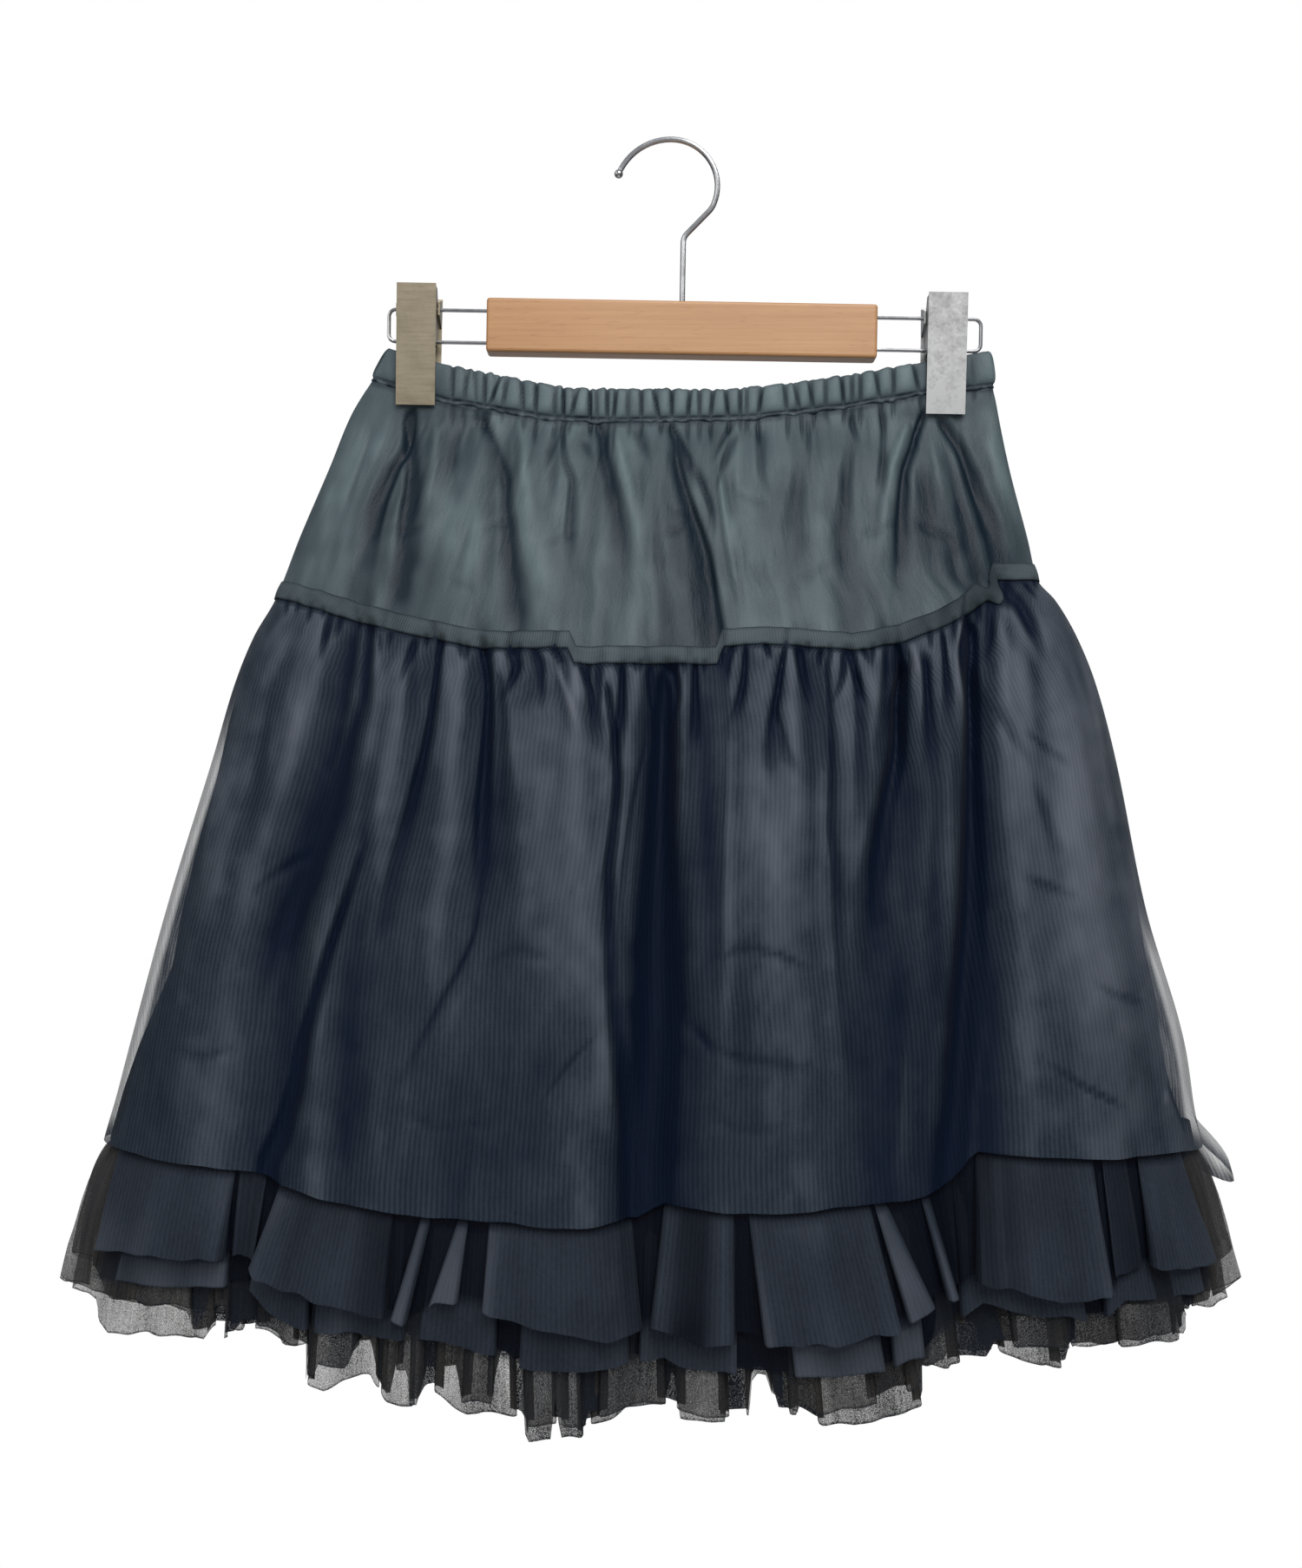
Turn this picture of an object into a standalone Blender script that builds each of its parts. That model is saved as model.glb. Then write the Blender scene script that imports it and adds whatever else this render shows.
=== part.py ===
"""Tiered tulle skirt hung by its elastic waist from a wooden clip hanger.

Metres, +Z up, front towards -Y. The origin is the highest point inside the hanger's hook,
so every height below is a drop from the rail that the hook hangs on.
Each cloth piece is a front or a back half: two skins on one shared form, 0.3 mm from the next piece.
"""

import math

import bmesh
import bpy
import numpy as np
from mathutils import Matrix, Vector

MM = 0.001

# ---- cloth sizes, in millimetres ----
GAP = 0.3  # between neighbouring pieces
WALL = 1.0  # thickness of a cloth wall
BAND_WALL = 2.2  # folded casing with its elastic
BAND_GATHER = 0.9  # how far the casing's gathers stand out
TAPE_WIDTH = 9.0  # ribbed tape sewn over the yoke's lower edge
FRILL_TUCK = 12.0  # how far the frills' top seam sits above the overskirt's hem
LINING_TAIL = 6.0  # how far the underskirt runs on below that seam
COLUMNS = 40  # facets across a front or a back
SIDE_HALF = 280.0  # half width and depth that space the columns evenly along the hem
SIDE_DEPTH = 80.0

# Outline of the inner skin of the outer cloth: drop below the hook, reach to the left, right, front and back.
FORM = [
    # drop, left, right, front, back
    (105, 148, 168, 3.2, 3.2),
    (127, 160, 170, 3.2, 3.2),
    (145, 171, 173, 3.6, 3.5),
    (172, 182, 179, 17, 9),
    (211, 198, 189, 34, 18),
    (238, 208, 200, 43, 24),
    (262, 221, 214, 52, 29),
    (287, 231, 224, 59, 33),
    (325, 243, 235, 65, 37),
    (403, 267, 250, 74, 42),
    (479, 287, 271, 81, 47),
    (520, 297, 277, 84, 50),
    (560, 306, 286, 87, 52),
    (660, 328, 311, 95, 58),
]

# Folds that run down the cloth: where each starts and ends, how wide and how deep it is.
# A negative depth is a ridge. Tables give x in millimetres at the top and at the bottom.
FRONT_FOLDS = [
    # x_top, x_bottom, half_width, depth, drop_top, drop_bottom
    (-160, -199, 26, 11, 235, 660),
    (-98, -99, 20, 7, 250, 450),
    (-12, -12, 46, 13, 200, 660),
    (110, 84, 20, 7, 255, 480),
    (158, 145, 28, 12, 225, 660),
    (-60, -56, 42, -4, 260, 560),
    (55, 48, 42, -4, 260, 560),
    (205, 215, 44, -4, 260, 560),
]
BACK_FOLDS = [
    (-165, -190, 30, 9, 235, 660),
    (-70, -92, 28, 8, 240, 660),
    (10, 14, 44, 10, 225, 660),
    (105, 128, 30, 8, 240, 660),
    (-20, -36, 40, -3, 260, 560),
    (170, 190, 40, -3, 260, 560),
]
FOLD_FADE = 60.0  # length over which a fold comes in or dies out

# Edges and seams, as x and drop. The hip seam steps where the yoke's pleats lift the cloth.
BAND_TOP = [(-150, 109), (-121, 118), (-71, 128), (-54, 131), (28, 132), (67, 128), (105, 122), (167, 111), (170, 114)]
BAND_SEAM = [(-159, 127), (-120, 139), (-65, 148), (-31, 150), (41, 148), (92, 142), (131, 135), (170, 131)]
HIP_SEAM = [
    (-206, 242), (-161, 257), (-116, 268), (-95, 272), (-54, 272), (-47, 280), (21, 280), (26, 271),
    (49, 270), (91, 273), (135, 265), (165, 249), (171, 235), (196, 233),
]
HIP_SEAM_BACK = [(-206, 242), (-120, 262), (-20, 274), (0, 269), (110, 262), (196, 233)]
HEM = [
    (-297, 526), (-208, 532), (-194, 539), (-140, 547), (-57, 552), (-18, 551), (-4, 543), (50, 546),
    (133, 541), (146, 525), (205, 525), (277, 529),
]
HEM_BACK = [(-297, 526), (-120, 546), (0, 550), (120, 542), (277, 529)]
UPPER_FRILL_HEM = [
    (-298, 576), (-212, 575), (-205, 584), (-167, 594), (-135, 599), (-115, 589), (-93, 590), (-86, 597),
    (-51, 603), (20, 608), (97, 606), (139, 593), (151, 586), (216, 593), (222, 585), (285, 583),
]
LOWER_FRILL_HEM = [
    (-303, 594), (-229, 592), (-189, 606), (-124, 607), (-85, 615), (-43, 621), (100, 625), (121, 619),
    (153, 597), (194, 603), (288, 598),
]
SHORT_TULLE_HEM = [(-306, 601), (-229, 604), (-180, 616), (-100, 627), (0, 634), (110, 632), (150, 609), (290, 604)]
LONG_TULLE_HEM = [
    (-310, 610), (-200, 616), (-177, 632), (-103, 640), (-43, 649), (22, 643), (119, 641), (134, 624),
    (220, 620), (296, 610),
]
FRILL_WAVES = 9  # pleats across a front or a back frill
FRILL_FLARE = 0.05  # how fast the pleats deepen below the overskirt's hem
FRILLS = [
    # name, hem, finish, lift of the inner skin at the seam and at the hem
    ("upper_frill", UPPER_FRILL_HEM, "ribbed_mesh", -1.6, 0.0),
    ("lower_frill", LOWER_FRILL_HEM, "ribbed_mesh", -2.9, -2.7),
    ("short_tulle_frill", SHORT_TULLE_HEM, "tulle", -4.2, -5.4),
    ("long_tulle_frill", LONG_TULLE_HEM, "tulle", -5.5, -8.6),
]

# ---- hanger sizes, in millimetres, in its own level frame; the whole hanger leans by HANGER_TILT ----
HANGER_TILT = math.radians(1.0)  # its right end hangs lower
HOOK_WIRE = 3.0
HOOK_STEM_X = 7.0
HOOK_BALL = 4.7
BAR_SIZE = (205.8, 14.0, 28.4)
BAR_CENTRE = (7.0, 0.0, -99.6)
BAR_EDGE = 1.6  # rounding of the bar's edges
RAIL_WIRE = 2.0
RAIL_HEIGHTS = (-91.0, -108.0)
RAIL_SEAT = 12.0  # depth of the rails' ends in the bar
RAIL_ENDS = {"left": -148.0, "right": 165.4}
RAIL_CORNER = 3.6
CLIP_CENTRES = {"left": -132.6, "right": 146.5}
CLIP_WIDTH = 20.6
CLIP_TOP = -79.3
CLIP_BOTTOM = -142.5
CLIP_SHEET = 0.9
FLANGE_STEP = 0.12  # the bent flanges stand this far in from the sheet's cut edge
CLIP_FRONT_TOP_Y = -9.5  # outer face of the front plate at its top
CLIP_FRONT_JAW_Y = -5.9  # and at its jaw
CLIP_REAR_TOP = -83.0
CLIP_REAR_WIDTH = 23.4
CLIP_FLANGE_LOW = -110.2  # the flanges end above the cloth
SPRING_SIZE = (6.2, 13.0)  # outer diameter and length of the coil round the upper rail

COLOURS = {
    # name: base colour, roughness, metallic
    "satin": ((0.075, 0.098, 0.110), 0.38, 0.0),
    "tape": ((0.045, 0.063, 0.070), 0.65, 0.0),
    "ribbed_mesh": ((0.036, 0.048, 0.068), 0.75, 0.0),
    "lining": ((0.030, 0.037, 0.050), 0.60, 0.0),
    "tulle": ((0.055, 0.055, 0.060), 0.85, 0.0),
    "wood": ((0.55, 0.30, 0.15), 0.45, 0.0),
    "chrome": ((0.80, 0.80, 0.80), 0.12, 1.0),
    "clip_steel": ((0.45, 0.43, 0.40), 0.38, 1.0),
}


def clear_scene():
    for item in list(bpy.data.objects):
        bpy.data.objects.remove(item, do_unlink=True)


def material(name):
    found = bpy.data.materials.get(name)
    if found:
        return found
    colour, roughness, metallic = COLOURS[name]
    made = bpy.data.materials.new(name)
    made.use_nodes = True
    shader = made.node_tree.nodes["Principled BSDF"]
    shader.inputs["Base Color"].default_value = (*colour, 1.0)
    shader.inputs["Roughness"].default_value = roughness
    shader.inputs["Metallic"].default_value = metallic
    return made


def add_object(name, mesh, finish, smooth_angle=40.0):
    mesh.materials.append(material(finish))
    mesh.shade_smooth()
    mesh.set_sharp_from_angle(angle=math.radians(smooth_angle))
    made = bpy.data.objects.new(name, mesh)
    bpy.context.scene.collection.objects.link(made)
    return made


# ---- the cloth's form ----


def line(table, x):
    """Height of an edge at x, from its table of x and drop."""
    xs, drops = zip(*table)
    return -float(np.interp(x, xs, drops))


def form_at(z):
    """Left, right, front and back reach of the outer cloth at a height."""
    rows = np.array(FORM)
    return [float(np.interp(-z, rows[:, 0], rows[:, column])) for column in range(1, 5)]


def column_angles():
    """Angles round the form, spaced evenly along the cloth."""
    fine = np.linspace(-math.pi / 2, math.pi / 2, 721)
    steps = np.hypot(np.diff(SIDE_HALF * np.sin(fine)), np.diff(SIDE_DEPTH * np.cos(fine)))
    length = np.concatenate([[0.0], np.cumsum(steps)])
    return np.interp(np.linspace(0.0, length[-1], COLUMNS + 1), length, fine)


ANGLES = column_angles()


def across(z, angle):
    left, right, _, _ = form_at(z)
    return (right - left) / 2 + (right + left) / 2 * math.sin(angle)


def soft_step(value):
    value = min(1.0, max(0.0, value))
    return value * value * (3 - 2 * value)


def fold_depth(side, x, z):
    """How far the folds push the cloth inwards at a place."""
    total = 0.0
    for x_top, x_bottom, half_width, depth, drop_top, drop_bottom in FRONT_FOLDS if side == "front" else BACK_FOLDS:
        down = (-z - drop_top) / (drop_bottom - drop_top)
        centre = x_top + (x_bottom - x_top) * min(1.0, max(0.0, down))
        strength = soft_step((-z - drop_top) / FOLD_FADE)
        if drop_bottom < FORM[-1][0]:
            strength *= soft_step((drop_bottom + z) / FOLD_FADE)
        offset = abs(x - centre) / half_width
        if offset < 1:
            total += depth * strength * (0.5 + 0.5 * math.cos(math.pi * offset))
    return total


def cloth_point(side, angle, z, lift):
    """A point on the cloth's form at a height, lifted off it along the form's outward normal."""
    left, right, front, back = form_at(z)
    half, depth = (right + left) / 2, front if side == "front" else back
    along, taper = math.sin(angle), math.cos(angle)
    normal = Vector((depth * along, half * taper)).normalized()
    x = (right - left) / 2 + half * along + lift * normal.x
    folded = fold_depth(side, across(z, angle), z) * min(1.0, 2 * taper)
    reach = GAP / 2 + max(0.0, depth * taper + lift * normal.y - folded)
    return Vector((x, -reach if side == "front" else reach, z)) * MM


def edge_height(table, angle, guess):
    """Height of an edge on one column. The column's x depends on the height, so it is found in turns."""
    z = guess
    for _ in range(6):
        z = line(table, across(z, angle))
    return z


def cloth_piece(name, side, rows, finish, wall=WALL):
    """A closed wall. Each row gives a function for its height on a column, its lift off the form and its waves."""
    shape = bmesh.new()
    bmesh.ops.create_grid(shape, x_segments=COLUMNS, y_segments=len(rows) - 1, size=0.5)
    for vert in shape.verts:  # the grid's own x and y hold the column and the row
        vert.co.x = round((vert.co.x + 0.5) * COLUMNS)
        vert.co.y = round((0.5 - vert.co.y) * (len(rows) - 1))
    inner = list(shape.verts)
    grown = bmesh.ops.extrude_face_region(shape, geom=list(shape.faces), use_keep_orig=True)
    outer = [item for item in grown["geom"] if isinstance(item, bmesh.types.BMVert)]
    for thickness, verts in ((0.0, inner), (wall, outer)):
        for vert in verts:
            column = int(vert.co.x)
            height, lift, wave = rows[int(vert.co.y)]
            z = height(ANGLES[column])
            vert.co = cloth_point(side, ANGLES[column], z, lift + wave(column) + thickness)
    bmesh.ops.recalc_face_normals(shape, faces=list(shape.faces))
    mesh = bpy.data.meshes.new(name)
    shape.to_mesh(mesh)
    shape.free()
    return add_object(name, mesh, finish, 80.0)


def still(column):
    return 0.0


def between(upper, lower, share):
    """A row part of the way down from one edge to another."""
    return lambda angle: upper(angle) + (lower(angle) - upper(angle)) * share


def moved(edge, up):
    return lambda angle: edge(angle) + up


def build_cloth():
    for side, hip_table, hem_table in (("front", HIP_SEAM, HEM), ("back", HIP_SEAM_BACK, HEM_BACK)):
        build_side(side, hip_table, hem_table)


def build_side(side, hip_table, hem_table):
    def band_top(angle):
        return edge_height(BAND_TOP, angle, -120.0)

    def band_seam(angle):
        return edge_height(BAND_SEAM, angle, -140.0)

    def hip(angle):
        return edge_height(hip_table, angle, -260.0)

    def hem(angle):
        return edge_height(hem_table, angle, -540.0)

    def gather(column):
        return (column % 2) * BAND_GATHER * clear_of_clips(column)

    band_low = moved(band_seam, GAP / 2)
    band_rows = [(band_top, 0.0, gather), (band_low, 0.0, gather)]
    cloth_piece(f"waistband_{side}", side, band_rows, "satin", BAND_WALL)

    yoke_top, tape_top = moved(band_seam, -GAP / 2), moved(hip, TAPE_WIDTH)
    yoke_rows = [(between(yoke_top, tape_top, share), 0.0, still) for share in (0.0, 0.13, 0.55, 1.0)]
    yoke_rows.append((moved(hip, GAP / 2), 0.0, still))
    cloth_piece(f"yoke_{side}", side, yoke_rows, "satin")

    tape_rows = [(height, WALL + GAP, still) for height, _, _ in yoke_rows[-2:]]
    cloth_piece(f"hip_tape_{side}", side, tape_rows, "tape")

    skirt_top, frill_seam = moved(hip, -GAP / 2), moved(hem, FRILL_TUCK)
    skirt_rows = [(between(skirt_top, frill_seam, share), 0.0, still) for share in (0.0, 0.12, 0.4, 0.7, 1.0)]
    skirt_rows.append((hem, 0.0, still))
    cloth_piece(f"overskirt_{side}", side, skirt_rows, "ribbed_mesh")

    last_lift = FRILLS[-1][3] - WALL - GAP
    first_lift = -WALL - GAP
    lining_rows = [
        (between(skirt_top, frill_seam, share), first_lift + (last_lift - first_lift) * share, still)
        for share in (0.0, 0.12, 0.4, 1.0)
    ]
    lining_rows.append((moved(frill_seam, -LINING_TAIL), last_lift, still))
    cloth_piece(f"underskirt_{side}", side, lining_rows, "lining")

    for name, table, finish, seam_lift, hem_lift in FRILLS:
        def frill_hem(angle, table=table):
            return edge_height(table, angle, -600.0)

        def pleats(column, frill_hem=frill_hem):
            return frill_wave(column) * FRILL_FLARE * (hem(ANGLES[column]) - frill_hem(ANGLES[column]))

        frill_rows = [(frill_seam, seam_lift, still), (hem, seam_lift, still), (frill_hem, hem_lift, pleats)]
        cloth_piece(f"{name}_{side}", side, frill_rows, finish)


def clear_of_clips(column):
    """1 where the casing is free, 0 where the clips press its gathers flat."""
    x = across(-130.0, ANGLES[column])
    return min(soft_step(abs(x - centre) / CLIP_WIDTH - 0.7) for centre in CLIP_CENTRES.values())


def frill_wave(column):
    """Uneven pleats: a wave whose length drifts across the frill and that dies out at the side seams."""
    share = column / COLUMNS
    fade = soft_step(6 * share) * soft_step(6 * (1 - share))
    return fade * math.cos(math.tau * (FRILL_WAVES * share + 0.45 * math.sin(math.tau * 2.0 * share)))


# ---- the hanger ----


def tilt_matrix():
    return Matrix.Rotation(HANGER_TILT, 4, "Y")


def finish_hanger_piece(shape, name, finish, smooth_angle=40.0):
    shape.transform(tilt_matrix())
    bmesh.ops.recalc_face_normals(shape, faces=list(shape.faces))
    mesh = bpy.data.meshes.new(name)
    shape.to_mesh(mesh)
    shape.free()
    return add_object(name, mesh, finish, smooth_angle)


def box(shape, low, high):
    """A box between two corners, in millimetres."""
    low, high = Vector(low) * MM, Vector(high) * MM
    size = Matrix.Diagonal((*(high - low), 1.0))
    made = bmesh.ops.create_cube(shape, size=1.0, matrix=Matrix.Translation((low + high) / 2) @ size)
    return made["verts"]


def arc(centre, radius, start, end, count):
    """Points of an arc in the XZ plane, angles in degrees."""
    turns = np.radians(np.linspace(start, end, count + 1))
    return [Vector((centre[0] + radius * math.cos(t), 0.0, centre[1] + radius * math.sin(t))) for t in turns]


def sweep_wire(shape, points, radius, sides=10):
    """Sweeps a round wire along points in the XZ plane and caps both ends."""
    rings = []
    for place, point in enumerate(points):
        before = points[max(0, place - 1)]
        after = points[min(len(points) - 1, place + 1)]
        along = (after - before).normalized()
        across_wire = Vector((0.0, 1.0, 0.0)).cross(along)
        ring = []
        for corner in range(sides):
            turn = math.tau * corner / sides
            offset = Vector((0.0, math.cos(turn), 0.0)) + across_wire * math.sin(turn)
            ring.append(shape.verts.new((point + offset * radius) * MM))
        rings.append([shape.edges.new((ring[i], ring[(i + 1) % sides])) for i in range(sides)])
    for first, second in zip(rings, rings[1:]):
        bmesh.ops.bridge_loops(shape, edges=first + second)
    bmesh.ops.holes_fill(shape, edges=rings[0] + rings[-1], sides=sides)


def hook_route():
    """The hook from its tip over the top and down into the bar, on the wire's centre line."""
    crown_z = HOOK_WIRE / 2
    left = arc((0.0, crown_z - 30.0), 30.0, 158.0, 90.0, 12)
    right = arc((0.0, crown_z - 24.6), 24.6, 90.0, -22.0, 18)
    heel = right[-1]
    heel_radius = 13.0
    heel_centre = heel - Vector((math.cos(math.radians(-22.0)), 0.0, math.sin(math.radians(-22.0)))) * heel_radius
    bend = arc((heel_centre.x, heel_centre.z), heel_radius, -22.0, -43.5, 4)
    along = Vector((-math.sin(math.radians(43.5)), 0.0, -math.cos(math.radians(43.5))))
    corner = bend[-1] + along * ((bend[-1].x - HOOK_STEM_X) / -along.x)
    neck_radius = 7.0
    tangent = neck_radius * math.tan(math.radians(43.5 / 2))
    neck_centre = (HOOK_STEM_X + neck_radius, corner.z - tangent)
    neck = arc(neck_centre, neck_radius, 180.0 - 43.5, 180.0, 5)
    foot = Vector((HOOK_STEM_X, 0.0, BAR_CENTRE[2] + 2.0))
    return left + right[1:] + bend[1:] + neck + [foot]


def build_hook():
    """The wire hook with the round knob that closes its tip, one piece."""
    route = hook_route()
    shape = bmesh.new()
    sweep_wire(shape, route, HOOK_WIRE / 2)
    wire = finish_hanger_piece(shape, "hanger_hook", "chrome")
    knob = bmesh.new()
    place = Matrix.Translation(route[0] * MM)
    bmesh.ops.create_uvsphere(knob, u_segments=16, v_segments=10, radius=HOOK_BALL / 2 * MM, matrix=place)
    cutter = finish_hanger_piece(knob, "hook_knob_shape", "chrome")
    join(wire, cutter, "UNION")


def join(target, other, operation):
    """Adds or cuts one shape with another through a live Boolean, and hides the other as a guide."""
    change = target.modifiers.new(operation.lower(), "BOOLEAN")
    change.operation = operation
    change.solver = "EXACT"
    change.object = other
    other.hide_render = True
    other.display_type = "WIRE"


def drill(shape, centre, axis, radius, length, sides=12):
    """A round cutter along X or Z, added to a cutter shape, in millimetres."""
    turn = Matrix.Rotation(math.pi / 2, 4, "Y") if axis == "X" else Matrix.Identity(4)
    bmesh.ops.create_cone(
        shape, cap_ends=True, segments=sides, radius1=radius * MM, radius2=radius * MM,
        depth=length * MM, matrix=Matrix.Translation(Vector(centre) * MM) @ turn,
    )


def build_bar():
    """The wooden bar, with a hole for the hook and two in each end for the rails."""
    shape = bmesh.new()
    centre, size = Vector(BAR_CENTRE), Vector(BAR_SIZE)
    box(shape, centre - size / 2, centre + size / 2)
    bmesh.ops.bevel(
        shape, geom=list(shape.edges), offset=BAR_EDGE * MM, segments=3, profile=0.5, affect="EDGES", material=-1
    )
    bar = finish_hanger_piece(shape, "hanger_bar", "wood", 30.0)
    holes = bmesh.new()
    hook_depth = size.z / 2 - 2.0 + GAP
    drill(holes, (HOOK_STEM_X, 0.0, centre.z + 2.0 - GAP + hook_depth), "Z", HOOK_WIRE / 2 + GAP, 2 * hook_depth)
    for end in (-1, 1):
        for height in RAIL_HEIGHTS:
            mouth = centre.x + end * size.x / 2
            drill(holes, (mouth, 0.0, height), "X", RAIL_WIRE / 2 + GAP, 2 * (RAIL_SEAT + GAP))
    join(bar, finish_hanger_piece(holes, "bar_holes", "wood"), "DIFFERENCE")


def build_rail(side):
    """One bent wire: two rails that run out of the bar and join round the end that stops the clip."""
    sign = -1 if side == "left" else 1
    start = BAR_CENTRE[0] + sign * (BAR_SIZE[0] / 2 - RAIL_SEAT)
    upper, lower = RAIL_HEIGHTS
    inner = RAIL_ENDS[side] - sign * RAIL_CORNER
    route = [Vector((start, 0.0, upper))]
    route += arc((inner, upper - RAIL_CORNER), RAIL_CORNER, 90.0, 90.0 - sign * 90.0, 5)
    route += arc((inner, lower + RAIL_CORNER), RAIL_CORNER, 90.0 - sign * 90.0, 90.0 - sign * 180.0, 5)
    route += [Vector((start, 0.0, lower))]
    shape = bmesh.new()
    sweep_wire(shape, route, RAIL_WIRE / 2, 8)
    finish_hanger_piece(shape, f"hanger_rail_{side}", "chrome")


def plate_profile(points, half_width):
    """A bent sheet: a closed outline in the YZ plane, drawn out along X."""
    shape = bmesh.new()
    verts = [shape.verts.new(Vector((-half_width, y, z)) * MM) for y, z in points]
    face = shape.faces.new(verts)
    grown = bmesh.ops.extrude_face_region(shape, geom=[face], use_keep_orig=True)
    moved = [item for item in grown["geom"] if isinstance(item, bmesh.types.BMVert)]
    bmesh.ops.translate(shape, verts=moved, vec=Vector((2 * half_width * MM, 0.0, 0.0)))
    bmesh.ops.recalc_face_normals(shape, faces=list(shape.faces))
    return shape


def add_flange(shape, x_low, x_high, points):
    """One side flange of a clip plate, from its outline in the YZ plane."""
    verts = [shape.verts.new(Vector((x_low, y, z)) * MM) for y, z in points]
    face = shape.faces.new(verts)
    grown = bmesh.ops.extrude_face_region(shape, geom=[face], use_keep_orig=True)
    moved = [item for item in grown["geom"] if isinstance(item, bmesh.types.BMVert)]
    bmesh.ops.translate(shape, verts=moved, vec=Vector(((x_high - x_low) * MM, 0.0, 0.0)))


def build_clip(side):
    """A sprung clip: a front plate whose flanges ride on both rails, a rear plate on the upper rail, a coil."""
    centre = CLIP_CENTRES[side]
    place = Matrix.Translation(Vector((centre * MM, 0.0, 0.0)))
    half = CLIP_WIDTH / 2
    rail_hole = RAIL_WIRE / 2 + GAP
    upper, lower = RAIL_HEIGHTS

    def front_y(z):
        share = (CLIP_TOP - z) / (CLIP_TOP - CLIP_BOTTOM)
        return CLIP_FRONT_TOP_Y + (CLIP_FRONT_JAW_Y - CLIP_FRONT_TOP_Y) * share

    sheet = [
        (front_y(CLIP_TOP), CLIP_TOP), (front_y(CLIP_BOTTOM), CLIP_BOTTOM),
        (front_y(CLIP_BOTTOM) + CLIP_SHEET, CLIP_BOTTOM), (front_y(CLIP_TOP) + CLIP_SHEET, CLIP_TOP),
    ]
    front = plate_profile(sheet, half)
    front.transform(place)
    front = finish_hanger_piece(front, f"clip_front_{side}", "clip_steel")
    flange_top = CLIP_TOP - 1.0
    flange = [
        (front_y(flange_top) + 0.4, flange_top), (front_y(CLIP_FLANGE_LOW) + 0.4, CLIP_FLANGE_LOW),
        (2.4, CLIP_FLANGE_LOW), (2.6, upper + 2.6), (-2.0, flange_top),
    ]
    flanges = bmesh.new()
    add_flange(flanges, -half + FLANGE_STEP, -half + FLANGE_STEP + CLIP_SHEET, flange)
    add_flange(flanges, half - FLANGE_STEP - CLIP_SHEET, half - FLANGE_STEP, flange)
    flanges.transform(place)
    join(front, finish_hanger_piece(flanges, f"clip_front_{side}_flanges", "clip_steel"), "UNION")
    holes = bmesh.new()
    for height in RAIL_HEIGHTS:
        drill(holes, (centre, 0.0, height), "X", rail_hole, CLIP_WIDTH + 4.0)
    join(front, finish_hanger_piece(holes, f"clip_front_{side}_holes", "clip_steel"), "DIFFERENCE")

    rear_half = CLIP_REAR_WIDTH / 2
    rear_web = [
        (9.5, CLIP_REAR_TOP), (9.5 - CLIP_SHEET, CLIP_REAR_TOP), (7.0, upper - 8.0), (7.0, lower - 2.0),
        (-CLIP_FRONT_JAW_Y - CLIP_SHEET, CLIP_BOTTOM + 5.0), (-CLIP_FRONT_JAW_Y - CLIP_SHEET, CLIP_BOTTOM),
        (-CLIP_FRONT_JAW_Y, CLIP_BOTTOM), (-CLIP_FRONT_JAW_Y, CLIP_BOTTOM + 5.0), (7.0 + CLIP_SHEET, lower - 2.0),
        (7.0 + CLIP_SHEET, upper - 8.0),
    ]
    rear = plate_profile(rear_web, rear_half)
    rear.transform(place)
    rear = finish_hanger_piece(rear, f"clip_rear_{side}", "clip_steel")
    ear = [(8.8, CLIP_REAR_TOP - 0.8), (-1.8, upper + 3.0), (-1.8, upper - 3.0), (7.4, upper - 8.6)]
    ears = bmesh.new()
    add_flange(ears, -rear_half + FLANGE_STEP, -rear_half + FLANGE_STEP + CLIP_SHEET, ear)
    add_flange(ears, rear_half - FLANGE_STEP - CLIP_SHEET, rear_half - FLANGE_STEP, ear)
    ears.transform(place)
    join(rear, finish_hanger_piece(ears, f"clip_rear_{side}_ears", "clip_steel"), "UNION")
    ear_holes = bmesh.new()
    drill(ear_holes, (centre, 0.0, upper), "X", rail_hole, CLIP_REAR_WIDTH + 4.0)
    join(rear, finish_hanger_piece(ear_holes, f"clip_rear_{side}_holes", "clip_steel"), "DIFFERENCE")

    outer, length = SPRING_SIZE
    coil = bmesh.new()
    drill(coil, (centre, 0.0, upper), "X", outer / 2, length, 16)
    coil = finish_hanger_piece(coil, f"clip_spring_{side}", "chrome")
    bore = bmesh.new()
    drill(bore, (centre, 0.0, upper), "X", rail_hole, length + 4.0)
    join(coil, finish_hanger_piece(bore, f"clip_spring_{side}_bore", "chrome"), "DIFFERENCE")


def main():
    clear_scene()
    build_cloth()
    build_hook()
    build_bar()
    for side in ("left", "right"):
        build_rail(side)
        build_clip(side)


main()
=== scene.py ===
import math

import bmesh
import bpy
import numpy as np
from mathutils import Matrix, Vector


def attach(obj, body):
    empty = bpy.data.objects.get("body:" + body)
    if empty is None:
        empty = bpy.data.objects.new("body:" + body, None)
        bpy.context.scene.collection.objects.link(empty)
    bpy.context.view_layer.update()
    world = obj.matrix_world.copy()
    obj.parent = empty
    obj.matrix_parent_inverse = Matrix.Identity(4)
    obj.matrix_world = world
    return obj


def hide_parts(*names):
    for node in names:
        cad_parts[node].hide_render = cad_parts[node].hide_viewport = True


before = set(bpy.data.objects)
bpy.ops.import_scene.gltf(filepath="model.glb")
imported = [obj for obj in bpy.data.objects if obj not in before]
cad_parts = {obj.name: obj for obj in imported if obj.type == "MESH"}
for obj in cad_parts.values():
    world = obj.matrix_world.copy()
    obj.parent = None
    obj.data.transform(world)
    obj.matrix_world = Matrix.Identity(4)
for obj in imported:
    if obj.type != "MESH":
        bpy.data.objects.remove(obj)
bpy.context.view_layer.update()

mm = 0.001

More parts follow.
